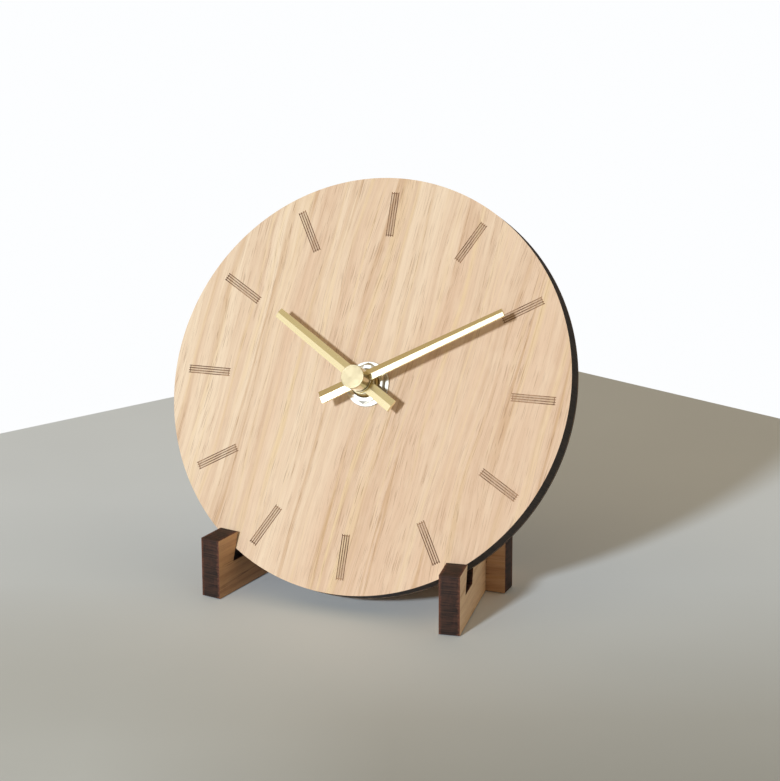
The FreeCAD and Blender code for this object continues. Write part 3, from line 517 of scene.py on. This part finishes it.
def mark_shapes():
    """Each mark's field and its engraved grooves, as lists of corners on the dial."""
    middles = [(MARK_WIDE - LINE) * (k / (LINES - 1) - 0.5) for k in range(LINES)]
    side, low, high = MARK_WIDE / 2, MARK_IN + CAP_IN, MARK_OUT - CAP_IN
    shapes = [box(-side, low, side, high)]
    for k, x in enumerate(middles):
        near, far = x - LINE / 2, x + LINE / 2
        shapes.append(box(near, MARK_IN, far, MARK_OUT))
        if k < LINES - 1:
            beyond = middles[k + 1] - LINE / 2
            shapes += [box(far, y, beyond, y + CAP) for y in (low, high - CAP)]
    spins = [Matrix.Rotation(-TAU * hour / 12, 2) for hour in range(12)]
    return [[[tuple(spin @ Vector(p)) for p in shape] for shape in shapes] for spin in spins]


def face_veneer():
    """The oak face with its engraved marks, cut to their real depth."""
    marks = mark_shapes()

    def kind(middle):
        if MARK_IN - 1 < middle.length < MARK_OUT + 1:
            for field, *grooves in marks:
                if any(within(middle, groove) for groove in grooves):
                    return GROOVED
                if within(middle, field):
                    return MARKED
        return PLAIN

    def height(middle):
        if middle.length < HOLE * math.cos(math.pi / HOLE_SIDES):
            return None
        return -LINE_DEEP if kind(middle) == GROOVED else 0.0

    def wall(a, b):
        return RIM if min(a, b) < -LINE_DEEP - 0.1 else GROOVED

    loops = [circle(RADIUS, 360), circle(HOLE, HOLE_SIDES)]
    loops += [shape for shapes in marks for shape in shapes]
    bm = relief(loops, height, -VENEER + 0.02, kind, wall)
    piece(bm, "face_veneer", [face_oak, mark_oak, groove_burn, rim_char], "clock",
          ["veneer_front"], smooth=25)


def dial_boards():
    """The dark core with its slightly uneven rim, and the oak veneer behind it."""
    rear = VENEER - THICK
    corners = turned([(HOLE, -VENEER, 0), (RADIUS, -VENEER, 0.04), (RADIUS, rear, 0.04),
                      (HOLE, rear, 0)])

    def rough_rim(a):
        wave = RIM_WAVE * math.sin(a * 97 + 3 * math.sin(a * 13)) * math.cos(a * 41)
        return [(r - RIM_WAVE - wave if r > RADIUS / 2 else r, z) for r, z in corners]

    piece(revolve(rough_rim, 720), "dial_board", [rim_char], "clock", ["dial_core"])
    back = revolve(turned([(HOLE, rear, 0), (RADIUS, rear, 0.03), (RADIUS, -THICK, 0.06),
                           (HOLE, -THICK, 0.05)]), 360)
    for face in back.faces:
        outside = all(v.co.xy.length > RADIUS - 0.3 for v in face.verts)
        face.material_index = int(outside and abs(face.normal.z) < 0.5)
    piece(back, "back_veneer", [back_oak, rim_char], "clock", ["veneer_back"])


face_veneer()
dial_boards()


# ---------------------------------------------------------------- clamp and hands

WASHER, WASHER_BORE, WASHER_TOP = 6.5, 4.05, 0.6
NUT_FLATS, NUT_BORE, NUT_TOP = 5.2, 3.95, 2.3
BUSH, BUSH_BORE, BUSH_LOW, BUSH_TOP = 3.9, 2.65, -8.4, 3.3
PITCH, PITCH_STEPS, THREAD_DEEP, RUN_OUT = 0.75, 10, 0.34, 0.35
GASKET, GASKET_BORE, GASKET_LOW = 9.0, 4.2, -7.5
# A hand's thickness at its edge and at its ridge, and the height of its boss.
HAND_EDGE, HAND_RIDGE, BOSS_HIGH = 0.9, 1.3, 0.5


def nut_corners(a):
    """The nut's profile at an angle: six flats, and a chamfer that rounds the top's corners."""
    off = (a + math.pi / 6) % (math.pi / 3) - math.pi / 6
    reach = NUT_FLATS / math.cos(off)
    drop = max(0.0, reach - NUT_FLATS - 0.05) * 0.55
    return [
        (NUT_BORE, WASHER_TOP), (reach - 0.06, WASHER_TOP), (reach, WASHER_TOP + 0.06),
        (reach, NUT_TOP - drop - 0.02), (min(reach, NUT_FLATS - 0.02), NUT_TOP),
        (NUT_BORE + 0.3, NUT_TOP), (NUT_BORE, NUT_TOP - 0.3),
    ]


def bush_corners(a):
    """The bush's profile at an angle: a thread that runs out at both ends, and a plain bore."""
    corners = []
    levels = int((BUSH_TOP - BUSH_LOW) / PITCH * PITCH_STEPS)
    for j in range(levels + 1):
        z = BUSH_LOW + (BUSH_TOP - BUSH_LOW) * j / levels
        turn = (z / PITCH - a / TAU) % 1.0
        ridge = 1 - abs(2 * turn - 1)
        near = min(1.0, (BUSH_TOP - z) / RUN_OUT, (z - BUSH_LOW) / RUN_OUT)
        r = BUSH - THREAD_DEEP * (1 - min(1.0, 1.3 * ridge)) - (1 - max(0.0, near)) * 0.25
        corners.append((r, z))
    return corners + [(BUSH_BORE, BUSH_TOP), (BUSH_BORE, BUSH_LOW)]


def clamp():
    """What clamps the dial to the movement: washer, nut, threaded bush and gasket."""
    washer = revolve(turned([(WASHER_BORE, 0, 0.04), (WASHER, 0, 0.05), (WASHER, WASHER_TOP, 0.12),
                             (WASHER_BORE, WASHER_TOP, 0.08)]), 128)
    piece(washer, "steel_washer", [nickel], "clock", ["washer"])
    piece(revolve(nut_corners, 96), "clamp_nut", [nickel], "clock", ["hex_nut"],
          smooth=25)
    piece(revolve(bush_corners, 72), "dial_bush", [bush_metal], "clock", ["threaded_bush"],
          smooth=50)
    gasket = revolve(turned([(GASKET_BORE, GASKET_LOW, 0.1), (GASKET, GASKET_LOW, 0.15),
                             (GASKET, -THICK, 0.15), (GASKET_BORE, -THICK, 0.1)]), 96)
    piece(gasket, "gasket", [rubber], "clock", ["rubber_gasket"])


def hand(name, node, body, angle, base, reach, back, tip, tail, boss, bore):
    """A faceted baton with square ends on a round boss, lying at a height `base`.

    It goes `reach` from the middle to its tip and `back` to its tail, and is `tip` and `tail`
    wide there; `angle` is clockwise from twelve."""
    def side(y):
        return (tail + (tip - tail) * (y + back) / (reach + back)) / 2

    bm = bmesh.new()
    rows = []
    for y in (-back, -boss * 1.2, 0, boss * 1.2, reach):
        w = side(y)
        spots = [(-w, 0), (w, 0), (w, HAND_EDGE), (0, HAND_RIDGE), (-w, HAND_EDGE)]
        rows.append([bm.verts.new((x, y, base + z)) for x, z in spots])
    for here, there in zip(rows, rows[1:]):
        for j in range(5):
            m = (j + 1) % 5
            bm.faces.new((here[j], here[m], there[m], there[j]))
    bm.faces.new(rows[0][::-1])
    bm.faces.new(rows[-1])
    spin = CLOCK @ Matrix.Rotation(math.radians(-angle), 4, "Z")
    piece(bm, name, [brass], body, [node], spin, 20)
    top = base + BOSS_HIGH
    ring = revolve(turned([(bore, base, 0.03), (boss, base, 0.06), (boss, top, 0.06),
                           (bore, top, 0.03)]), 72)
    piece(ring, name + "_boss", [brass], body, (), spin)


def hubs():
    """The hour hand's collet and the minute hand's cap, as profiles round the hands' axis."""
    collet = revolve(turned([
        (2.62, 3.6, 0.03), (3.6, 3.6, 0.1), (3.6, 4.78, 0.06), (3.0, 4.78, 0),
        (3.0, 6.2, 0.1), (2.62, 6.2, 0.05),
    ]), 96)
    piece(collet, "hour_boss", [brass_turned], "hour_train", ["hour_collet"])
    cap = revolve([
        (0.0, 12.5), (3.28, 12.5), (3.4, 12.38), (3.4, 7.92), (3.3, 7.82), (2.3, 7.82),
        (2.3, 6.5), (1.62, 6.5), (1.62, 11.3), (0.0, 11.3),
    ], 128, closed=False)
    piece(cap, "hub_cap", [brass_turned], "minute_train", ["minute_cap"])


clamp()
hand("hour_blade", "hour_hand", "hour_train", angle=302.0, base=4.8, reach=33.1, back=12.0,
     tip=2.9, tail=3.7, boss=3.6, bore=3.02)
hand("minute_blade", "minute_hand", "minute_train", angle=60.6, base=6.5, reach=45.5, back=12.3,
     tip=2.2, tail=3.5, boss=3.4, bore=2.32)
hubs()


# ---------------------------------------------------------------- stand

# The boards' thickness and height, and the angle by which each foot turns out.
BOARD, HEIGHT, TOE = 6.0, 17.4, math.radians(9.0)
# The slot: its floor's height, its lean, the prong before it and its width, both at the top.
SLOT_FLOOR, SLOT_LEAN, PRONG, SLOT_WIDE = 9.2, math.radians(17.0), 9.6, 8.8333
# Half the distance of the feet's fronts, their length before the cross board's middle and
# behind its back, the joints' play and the cross board's length.
SPREAD, BEFORE, TAIL, PLAY, CROSS = 36.3, 37.4, 13.0, 0.1, 79.4
# The scorched line's width round a board's sides, and the rounding of its cut edges.
HALO, EDGE_ROUND = 0.12, 0.09
# A board's materials, in the order of their slots.
SAWN, CUT, SCORCHED = 0, 1, 2


def foot_frame(side):
    """A foot's frame: x across its thickness, y back from its front, z up."""
    c, s = math.cos(TOE), math.sin(TOE) * side
    axes = Matrix(((c, s, 0), (-s, c, 0), (0, 0, 1))).transposed().to_4x4()
    return Matrix.Translation(Vector((side * SPREAD, -BEFORE, 0)) * MM) @ axes @ ROOM


def grain_frame(matrix, place):
    """The wood's frame in a board, with its grain along the board, at a place in the figure."""
    swap = Matrix(((0, 0, 1, 0), (0, 1, 0, 0), (-1, 0, 0, 0), (0, 0, 0, 1)))
    return matrix @ Matrix.Translation(Vector((place, place * 3, 0))) @ swap


def board_piece(outline, name, matrix, node, place):
    """A board cut to an outline in its y-z plane.

    It has oak sides with a scorched line round them, and charred, slightly rounded cut edges."""
    bm = bmesh.new()
    half = BOARD / 2
    count = len(outline)
    near = [bm.verts.new((-half, y, z)) for y, z in outline]
    far = [bm.verts.new((half, y, z)) for y, z in outline]
    sides = [bm.faces.new(near), bm.faces.new(far[::-1])]
    for side in sides:
        side.material_index = SAWN
    for k in range(count):
        m = (k + 1) % count
        bm.faces.new((near[k], far[k], far[m], near[m])).material_index = CUT
    bm.normal_update()
    for side in sides:
        border = bmesh.ops.inset_region(bm, faces=[side], thickness=HALO, depth=0.0,
                                        use_even_offset=True)
        for face in border["faces"]:
            face.material_index = SCORCHED
    edges = [
        e for e in bm.edges
        if len(e.link_faces) == 2 and e.calc_face_angle() > math.radians(30)
        and any(face.material_index == CUT for face in e.link_faces)
    ]
    bmesh.ops.bevel(bm, geom=edges, offset=EDGE_ROUND, segments=2, profile=0.6, affect="EDGES",
                    clamp_overlap=True)
    bm.normal_update()
    for face in bm.faces:
        if abs(face.normal.x) < 0.8:
            face.material_index = CUT
    wood = grain_frame(matrix, place)
    side = oak(name + "_oak", wood, **SIDE_OAK_WITH_SHADE[node])
    burn = charred(name + "_char", matrix, srgb(66, 46, 37), srgb(88, 54, 42), srgb(30, 22, 21),
                   srgb(118, 72, 54))
    halo = oak(name + "_halo", wood, **SIDE_OAK_WITH_SHADE[node], scorch=0.5)
    piece(bm, name, [side, burn, halo], "stand", [node], matrix, 30)


def stand():
    """Two feet notched from below for the cross board, which is notched from above."""
    slant = (HEIGHT - SLOT_FLOOR) * math.tan(SLOT_LEAN)
    middle = BEFORE / math.cos(TOE)
    half = (BOARD / math.cos(TOE) + BOARD * math.tan(TOE)) / 2 + PLAY
    end = middle + BOARD / 2 + TAIL
    roof, floor = HEIGHT / 2 + PLAY / 2, HEIGHT / 2 - PLAY / 2
    foot = [
        (0, 0), (0, HEIGHT), (PRONG, HEIGHT), (PRONG - slant, SLOT_FLOOR),
        (PRONG + SLOT_WIDE - slant, SLOT_FLOOR), (PRONG + SLOT_WIDE, HEIGHT), (end, HEIGHT),
        (end, 0), (middle + half, 0), (middle + half, roof), (middle - half, roof),
        (middle - half, 0),
    ]
    board_piece(foot, "left_foot", foot_frame(-1), "foot_left", 11)
    board_piece(foot, "right_foot", foot_frame(1), "foot_right", 4)

    cross = [(0, 0), (0, HEIGHT)]
    reach = SPREAD - BEFORE * math.tan(TOE)
    for x in (CROSS / 2 - reach, CROSS / 2 + reach):
        cross += [(x - half, HEIGHT), (x - half, floor), (x + half, floor), (x + half, HEIGHT)]
    cross += [(CROSS, HEIGHT), (CROSS, 0)]
    turn = Matrix(((0, 1, 0, -CROSS / 2), (-1, 0, 0, 0), (0, 0, 1, 0), (0, 0, 0, 1)))
    board_piece(cross, "rear_board", ROOM @ turn, "cross_board", 23)


stand()


# ---------------------------------------------------------------- movement

# Heights of the case: its face, the floor behind it, the cover's inside and outside.
FACE, INNER, COVER, BACK = -7.5, -8.7, -22.3, -23.5
# Half the case's width, its top, its corners' radius and its walls' thickness.
CASE, CASE_TOP, CORNER, WALL = 28.0, 28.02, 4.0, 1.2
FACE_ROUND, BACK_ROUND = 0.5, 0.35
# The battery's opening, the rib above it, and where the battery's end lies.
BAY = (-26.1, -26.5, 26.1, -11.5)
RIB = (-CASE + WALL, -11.5, CASE - WALL, -10.5)
CELL = (-25.1, -18.998, -16.2)
# The posts for the cover's screws and the stud of the intermediate wheel.
POSTS = [(x, y) for x in (-23.6, 23.6) for y in (-7.3, 23.62)]
POST, POST_END, SCREW_BORE, BORE_END = 2.4, -17.9, 0.92, -12.6
STUD, STUD_AT, STUD_END = 0.9, -9.6, -11.8
BUSH_HOLE = 3.92
# The parting groove's edges and floor, and its depth.
GROOVE, GROOVE_DEEP = (-20.5, -20.62, -20.86, -20.98), 0.2
# The cover's recesses.
SETTING = (-12.883, 9.021)
STEM_HOLE, DISH, DISH_DEEP = 1.8, 6.6, 0.3
PANEL_OUT, PANEL_IN, PANEL_DEEP = (-26.4, -9.8, 26.4, 26.4, 3), (-26.0, -9.4, 26.0, 26.0, 2.6), 0.22
PIN, PIN_AT, PIN_DEEP = 1.3, 0.93, 0.08
SIGN_DEEP = 0.16
PLUS = [(16.4, -7.6, 19.6, -7.0), (17.7, -8.9, 18.3, -7.6), (17.7, -7.0, 18.3, -5.7)]
MINUS = [(-19.6, -7.6, -16.4, -7.0)]
# The arrow round the knob: its start, step and steps in degrees, its radii and its head's.
ARROW_FROM, ARROW_STEP, ARROW_STEPS = -30, 12, 11
ARROW_IN, ARROW_OUT, HEAD_IN, HEAD_OUT, HEAD_LONG = 8.0, 8.5, 7.2, 9.3, 0.26
# A tooth's corners: share of the pitch, and height from the pitch circle in modules.
TOOTH = ((-0.34, -0.85), (-0.25, -0.1), (-0.12, 0.6), (0.12, 0.6), (0.25, -0.1), (0.34, -0.85))
FLUTES, FLUTE_DEEP = 18, 0.32
# The coil: its place, length and radii, the wire's bulge and the turns that show.
COIL_AT, COIL_LONG, COIL_IN, COIL_OUT = (5.56, 23.824, -15.3), 8.9, 1.55, 2.13
WIRE, TURNS = 0.07, 44
LENGTHWAYS = Matrix.Rotation(math.radians(90), 4, "Y")  # from z to the clock's x

HAIR = 0.1
CORE = rounded_box(-CASE + HAIR, -CASE + HAIR, CASE - HAIR, CASE - HAIR, CORNER - HAIR)


def cut_level(bm, z):
    """Cut every face that crosses a height."""
    bmesh.ops.bisect_plane(bm, geom=bm.verts[:] + bm.edges[:] + bm.faces[:],
                           plane_co=(0, 0, z), plane_no=(0, 0, 1))


def round_rim(bm, face, inward, radius, steps=4):
    """Round the case's outer rim where its walls meet a face.

    `inward` is the z direction from that face into the walls."""
    for k in range(steps):
        cut_level(bm, face + inward * (radius * (1 - math.sin(math.pi / 2 * k / steps))))
    straight = CASE - CORNER
    for v in bm.verts:
        rest = radius - (v.co.z - face) * inward
        if rest > 0 and not within(v.co.xy, CORE):
            near = Vector([max(-straight, min(straight, c)) for c in v.co.xy])
            inset = radius - math.sqrt(max(0.0, radius ** 2 - rest ** 2))
            v.co.xy -= (v.co.xy - near).normalized() * inset


def case_shell():
    """The front shell with its rib, posts and stud, and a parting groove round its walls."""
    outer = rounded_box(-CASE, -CASE, CASE, CASE_TOP, CORNER)
    room = rounded_box(-CASE + WALL, -CASE + WALL, CASE - WALL, CASE_TOP - WALL, CORNER - WALL)
    rib = box(*RIB)
    posts = [circle(POST, 40, *at) for at in POSTS]
    bores = [circle(SCREW_BORE, 20, *at) for at in POSTS]
    stud, bush = circle(STUD, 24, STUD_AT), circle(BUSH_HOLE, 64)

    def height(p):
        if within(p, bush) or not within(p, outer):
            return None
        if not within(p, room) or within(p, rib):
            return COVER
        if within(p, stud):
            return STUD_END
        for post, bore in zip(posts, bores):
            if within(p, post):
                return BORE_END if within(p, bore) else POST_END
        return INNER

    bm = relief([outer, room, rib, stud, bush, *posts, *bores], height, FACE)
    for z in GROOVE:
        cut_level(bm, z)
    middle = sum(GROOVE) / len(GROOVE)
    for v in bm.verts:
        if abs(v.co.z - middle) < 0.15 and not within(v.co.xy, CORE):
            v.co.xy *= 1 - GROOVE_DEEP / CASE
    round_rim(bm, FACE, -1, FACE_ROUND)
    piece(bm, "movement_case", [black_plastic], "clock", ["case_front"],
          smooth=40)


def arrow():
    """The arrow that shows which way the knob turns, as short arcs and a head."""
    def spot(r, t):
        return SETTING[0] + r * math.cos(t), SETTING[1] + r * math.sin(t)

    turns = [math.radians(ARROW_FROM + ARROW_STEP * k) for k in range(ARROW_STEPS + 1)]
    shapes = [
        [spot(ARROW_IN, a), spot(ARROW_OUT, a), spot(ARROW_OUT, b), spot(ARROW_IN, b)]
        for a, b in zip(turns, turns[1:])
    ]
    end, middle = turns[-1], (HEAD_IN + HEAD_OUT) / 2
    return shapes + [[spot(HEAD_IN, end), spot(HEAD_OUT, end), spot(middle, end + HEAD_LONG)]]


def back_cover():
    """The cover: battery opening, a dish round the knob, a framed panel and shallow signs."""
    outer = rounded_box(-CASE, -CASE, CASE, CASE_TOP, CORNER)
    bay = box(*BAY)
    stem, dish = circle(STEM_HOLE, 40, *SETTING), circle(DISH, 64, *SETTING)
    panel_out, panel_in = rounded_box(*PANEL_OUT), rounded_box(*PANEL_IN)
    pins = [circle(PIN, 28, x * PIN_AT, y * PIN_AT) for x, y in POSTS]
    signs = [box(*bar) for bar in PLUS + MINUS] + arrow()

    def height(p):
        if within(p, bay) or within(p, stem) or not within(p, outer):
            return None
        if within(p, dish):
            return BACK + DISH_DEEP
        if any(within(p, s) for s in signs):
            return BACK + SIGN_DEEP
        if within(p, panel_out) and not within(p, panel_in):
            return BACK + PANEL_DEEP
        return BACK + (PIN_DEEP if any(within(p, s) for s in pins) else 0.0)

    bm = relief([outer, bay, stem, dish, panel_out, panel_in, *pins, *signs], height, COVER)
    round_rim(bm, BACK, 1, BACK_ROUND)
    piece(bm, "back_cover", [cover_plastic], "clock", ["rear_cover"], smooth=40)


def wheel(teeth, module, low, high):
    """A plain spur wheel between two heights."""
    bm = bmesh.new()
    outline = []
    for k in range(teeth):
        for turn, reach in TOOTH:
            a, r = TAU * (k + turn) / teeth, module * (teeth / 2 + reach)
            outline.append((r * math.cos(a), r * math.sin(a)))
    bottom = [bm.verts.new((x, y, low)) for x, y in outline]
    top = [bm.verts.new((x, y, high)) for x, y in outline]
    bm.faces.new(bottom[::-1])
    bm.faces.new(top)
    for k in range(len(outline)):
        m = (k + 1) % len(outline)
        bm.faces.new((bottom[k], bottom[m], top[m], top[k]))
    return bm


def knob():
    """The fluted setting knob with its stem, and the pinion on it."""
    corners = [
        (0.0, -26.0), (2.9, -26.0), (3.1, -26.1), (3.3, -26.4), (4.75, -26.4), (5.1, -26.28),
        (5.2, -26.0), (5.2, -24.1), (5.1, -23.86), (4.7, -23.8), (1.5, -23.8), (1.5, -11.2),
        (0.55, -11.2), (0.55, -8.2), (0.0, -8.2),
    ]

    def fluted(a):
        cut = FLUTE_DEEP * max(0.0, math.cos(FLUTES * a)) ** 3
        return [(r - cut if r > 4.7 else r, z) for r, z in corners]

    where = CLOCK @ Matrix.Translation((*SETTING, 0))
    piece(revolve(fluted, 216, closed=False), "knob", [knob_plastic], "setting",
          ["setting_knob"], where, 30)
    piece(wheel(12, 0.4, -11.2, -10.4), "setting_pinion", [knob_plastic], "setting", (),
          where, 20)


def cell():
    """The battery: a steel can in a dark and a light wrap, across the bottom of the case."""
    seam_low, seam_high, wrap_low, wrap_high = 34.0, 34.6, 1.0, 48.8
    bm = revolve([
        (0.0, 0.25), (4.9, 0.25), (5.2, 0.0), (6.3, 0.0), (6.95, 0.45), (7.0, 1.0), (7.1, 1.2),
        (7.1, seam_low), (7.1, seam_high), (7.1, 47.6), (6.95, 48.3), (6.3, 48.85), (5.9, 48.9),
        (5.8, 48.75), (3.5, 48.75), (3.3, 49.0), (2.6, 49.05), (2.6, 49.9), (2.45, 50.15),
        (2.2, 50.2), (0.0, 50.2),
    ], 96, closed=False)
    for face in bm.faces:
        middle = face.calc_center_median()
        if middle.xy.length > 6.0 and wrap_low < middle.z < wrap_high:
            if middle.z < seam_low:
                face.material_index = 1
            elif middle.z > seam_high:
                face.material_index = 2
    piece(bm, "cell", [steel, wrap_dark, wrap_light], "battery_cell", ["battery"],
          CLOCK @ Matrix.Translation(CELL) @ LENGTHWAYS, 30)


def winding():
    """The coil's wire, with a small bulge for each turn."""
    profile = [(COIL_IN, 0.0), (COIL_IN, COIL_LONG)]
    for k in range(TURNS):
        top, pitch = COIL_LONG * (TURNS - k) / TURNS, COIL_LONG / TURNS
        profile += [(COIL_OUT, top), (COIL_OUT + WIRE, top - 0.3 * pitch),
                    (COIL_OUT + WIRE, top - 0.7 * pitch)]
    profile.append((COIL_OUT, 0.0))
    piece(revolve(profile, 48), "wire_turns", [copper], "clock", ["coil_winding"],
          CLOCK @ Matrix.Translation(COIL_AT) @ LENGTHWAYS, 40)


# The materials of the nodes that keep their CAD shape.
FINISH = {
    "train_plate": white_plastic, "coil_bobbin": white_plastic, "plate_screws": steel,
    "quartz_crystal": steel, "contact_plus": spring, "contact_minus": spring, "stator": spring,
    "circuit_board": board_green, "clock_chip": epoxy, "minute_arbor": brass_turned,
    "hour_wheel": gear_black, "intermediate_wheel": gear_white, "centre_wheel": gear_white,
    "third_wheel": gear_white, "rotor": gear_white,
}

case_shell()
back_cover()
knob()
cell()
winding()
for node, material in FINISH.items():
    for place in bpy.data.objects[node].material_slots:
        place.material = material


# ---------------------------------------------------------------- stage, light and camera

# The camera: its picture's size and focal length in pixels, its direction and distance from
# the dial's middle, and the way it looks.
WIDE, HIGH, FOCAL = 780, 781, 2836.0
AZ, EL, REACH = math.radians(23.26), math.radians(17.88), 0.801
YAW, PITCH_DOWN, ROLL = math.radians(22.7912), math.radians(18.0047), math.radians(-0.1344)
SENSOR = 36.0
# Two places in that picture on each of the table's back edges, and how far the edges go on.
LEFT_EDGE, RIGHT_EDGE = ((0, 433), (170, 397)), ((592, 374), (780, 418))
LEFT_LONG, RIGHT_LONG = 1.0, 0.6
# How far the tabletop lies below the stand, and how far it comes forward of its left end.
TABLE_LOW, TABLE_FRONT = 0.0002, 0.05
PAINTED_SHADE_TO = 480  # the row of the picture up to which the tabletop's painted shade is counted
# The tabletop's painted shade from its front to its back, darkest at the front, and the duller
# painted light at its front left.
TABLE_PAINTED_SHADE = (
    (0.0, srgb(195, 191, 182)), (0.17, srgb(207, 203, 195)), (0.6, srgb(246, 246, 245)),
    (0.9, srgb(255, 255, 255)),
)
FRONT_LEFT_PAINTED_LIGHT = srgb(228, 226, 220)
# The room: its dim light from everywhere, and patches of it that are brighter, each with its
# direction, the half-angles where it begins to fade and has faded, and its colour.
AMBIENT = (0.085, 0.053, 0.022)
LOBES = [
    (5, 76, 22, 58, (0.27, 0.22, 0.135)),
    (180, 15, 35, 80, (0.24, 0.27, 0.28)),
    (38, 8, 8, 22, (1.06, 1.01, 0.88)),
    (4, 2, 8, 20, (0.6, 0.56, 0.46)),
    (-90, 12, 15, 50, (0.55, 0.50, 0.42)),
    (66, 45, 12, 30, (0.26, 0.20, 0.12)),
    (17, 58, 8, 18, (0.3, 0.28, 0.2)),
    (27, 33, 5, 14, (0.12, 0.13, 0.14)),
]
BACKDROP = (0.98, 0.99, 1, 1)
# The key light: direction, distance, size, power and colour.
KEY_AT, KEY_FAR, KEY_SIZE, KEY_POWER, KEY_COLOUR = (8.5, 22.7), 2.4, 0.26, 45.0, (0.84, 0.93, 1.0)


def camera_frame():
    """Where the camera stands and its right, up and forward directions."""
    away = Vector((math.sin(AZ) * math.cos(EL), -math.cos(AZ) * math.cos(EL), math.sin(EL)))
    ahead = Vector((-math.sin(YAW) * math.cos(PITCH_DOWN), math.cos(YAW) * math.cos(PITCH_DOWN),
                    -math.sin(PITCH_DOWN)))
    right = ahead.cross(Vector((0, 0, 1))).normalized()
    up = right.cross(ahead)
    c, s = math.cos(ROLL), math.sin(ROLL)
    return CLOCK.translation + away * REACH, c * right + s * up, -s * right + c * up, ahead


def on_table(x, y):
    """The point of the table seen at a place in the picture."""
    spot, right, up, ahead = camera_frame()
    ray = ahead + right * ((x - WIDE / 2) / FOCAL) - up * ((y - HIGH / 2) / FOCAL)
    return (spot - ray * (spot.z / ray.z)).to_2d()


def table_edges():
    """The table's far corner and a far point on each of its two back edges."""
    a, b = (on_table(*spot) for spot in LEFT_EDGE)
    c, d = (on_table(*spot) for spot in RIGHT_EDGE)
    corner = geometry.intersect_line_line_2d(a + (a - b) * 20, b + (b - a) * 20,
                                             c + (c - d) * 20, d + (d - c) * 20)
    left = a + (a - b).normalized() * LEFT_LONG
    return corner, left, d + (d - c).normalized() * RIGHT_LONG


def stage():
    """A plain tabletop, its two far edges meeting behind the clock."""
    n = material_nodes("table")
    where = n.add("ShaderNodeTexCoord").outputs["Object"]

    def across(start, end):
        """0 at one point of the table and 1 at another, evenly between."""
        step = (end - start) / (end - start).length_squared
        run = n.vector("DOT_PRODUCT", where, (step.x, step.y, 0), out="Value")
        return n.math("ADD", run, -start.dot(step))

    soft = n.noise(where, 9.0, 3.0, 0.55)
    tint = n.mix(n.rise(soft, 0.3, 0.7), srgb(231, 236, 241), srgb(236, 241, 246))
    # Painted shade and light: the top is darker towards its front, where less light falls, and
    # painted brighter at its front left.
    near = on_table(WIDE / 2, HIGH)
    depth = across(near, on_table(WIDE / 2, PAINTED_SHADE_TO))
    leftward = n.rise(across(near, on_table(0, HIGH)), 0.0, 0.8)
    painted_light = n.math("MULTIPLY", leftward, n.ramp(depth, (0.1, 1.0), (0.6, 0.0)))
    shade = n.mix(painted_light, n.ramp(depth, *TABLE_PAINTED_SHADE), FRONT_LEFT_PAINTED_LIGHT)
    tint = n.mix(1.0, tint, shade, "MULTIPLY")
    n.set(Base_Color=tint, Roughness=0.6, Specular_IOR_Level=0.25)

    corner, left, right = table_edges()
    front = left[1] - TABLE_FRONT
    bm = bmesh.new()
    spots = [corner, left, (left[0], front), (right[0], front), right]
    bm.faces.new([bm.verts.new((x, y, -TABLE_LOW)) for x, y in spots])
    mesh = bpy.data.meshes.new("tabletop")
    bm.to_mesh(mesh)
    bm.free()
    table = bpy.data.objects.new("tabletop", mesh)
    mesh.materials.append(n.owner)
    bpy.context.scene.collection.objects.link(table)


def camera():
    data = bpy.data.cameras.new("camera")
    data.sensor_fit = "HORIZONTAL"
    data.sensor_width = SENSOR
    data.lens = FOCAL * SENSOR / WIDE
    data.clip_start, data.clip_end = 0.05, 20
    cam = bpy.data.objects.new("camera", data)
    bpy.context.scene.collection.objects.link(cam)
    spot, right, up, ahead = camera_frame()
    axes = Matrix((right, up, -ahead)).transposed().to_4x4()
    cam.matrix_world = Matrix.Translation(spot) @ axes
    bpy.context.scene.camera = cam


def toward(az, el):
    """Direction with az degrees left of the front and el degrees above the table."""
    a, e = math.radians(az), math.radians(el)
    return Vector((-math.sin(a) * math.cos(e), -math.cos(a) * math.cos(e), math.sin(e)))


def key_light():
    data = bpy.data.lights.new("key", "AREA")
    data.shape = "DISK"
    data.size = KEY_SIZE
    data.energy = KEY_POWER
    data.color = KEY_COLOUR
    lamp = bpy.data.objects.new("key", data)
    bpy.context.scene.collection.objects.link(lamp)
    middle = CLOCK.translation
    spot = middle + toward(*KEY_AT) * KEY_FAR
    lamp.location = spot
    lamp.rotation_mode = "QUATERNION"
    lamp.rotation_quaternion = (middle - spot).to_track_quat("-Z", "Y")


def room_light():
    """The world: warm dim light with the brighter patches, and white where the camera sees it."""
    world = bpy.data.worlds.new("studio")
    bpy.context.scene.world = world
    n = Nodes(world)
    ray = n.add("ShaderNodeTexCoord").outputs["Generated"]
    total = AMBIENT
    for az, el, inner, outer, colour in LOBES:
        patch = n.add("ShaderNodeMapRange", interpolation_type="SMOOTHSTEP")
        dot = n.vector("DOT_PRODUCT", ray, toward(az, el), out="Value")
        n.feed(patch.inputs["Value"], dot)
        patch.inputs["From Min"].default_value = math.cos(math.radians(outer))
        patch.inputs["From Max"].default_value = math.cos(math.radians(inner))
        total = n.vector("MULTIPLY_ADD", patch.outputs["Result"], colour, total)
    lit, seen = n.add("ShaderNodeBackground"), n.add("ShaderNodeBackground")
    n.feed(lit.inputs["Color"], total)
    n.feed(seen.inputs["Color"], BACKDROP)
    mix = n.add("ShaderNodeMixShader")
    n.feed(mix.inputs["Fac"], n.add("ShaderNodeLightPath").outputs["Is Camera Ray"])
    n.feed(mix.inputs[1], lit.outputs[0])
    n.feed(mix.inputs[2], seen.outputs[0])
    n.feed(n.tree.nodes["World Output"].inputs["Surface"], mix.outputs[0])


stage()
camera()
key_light()
room_light()
bpy.context.scene.view_settings.view_transform = "Standard"
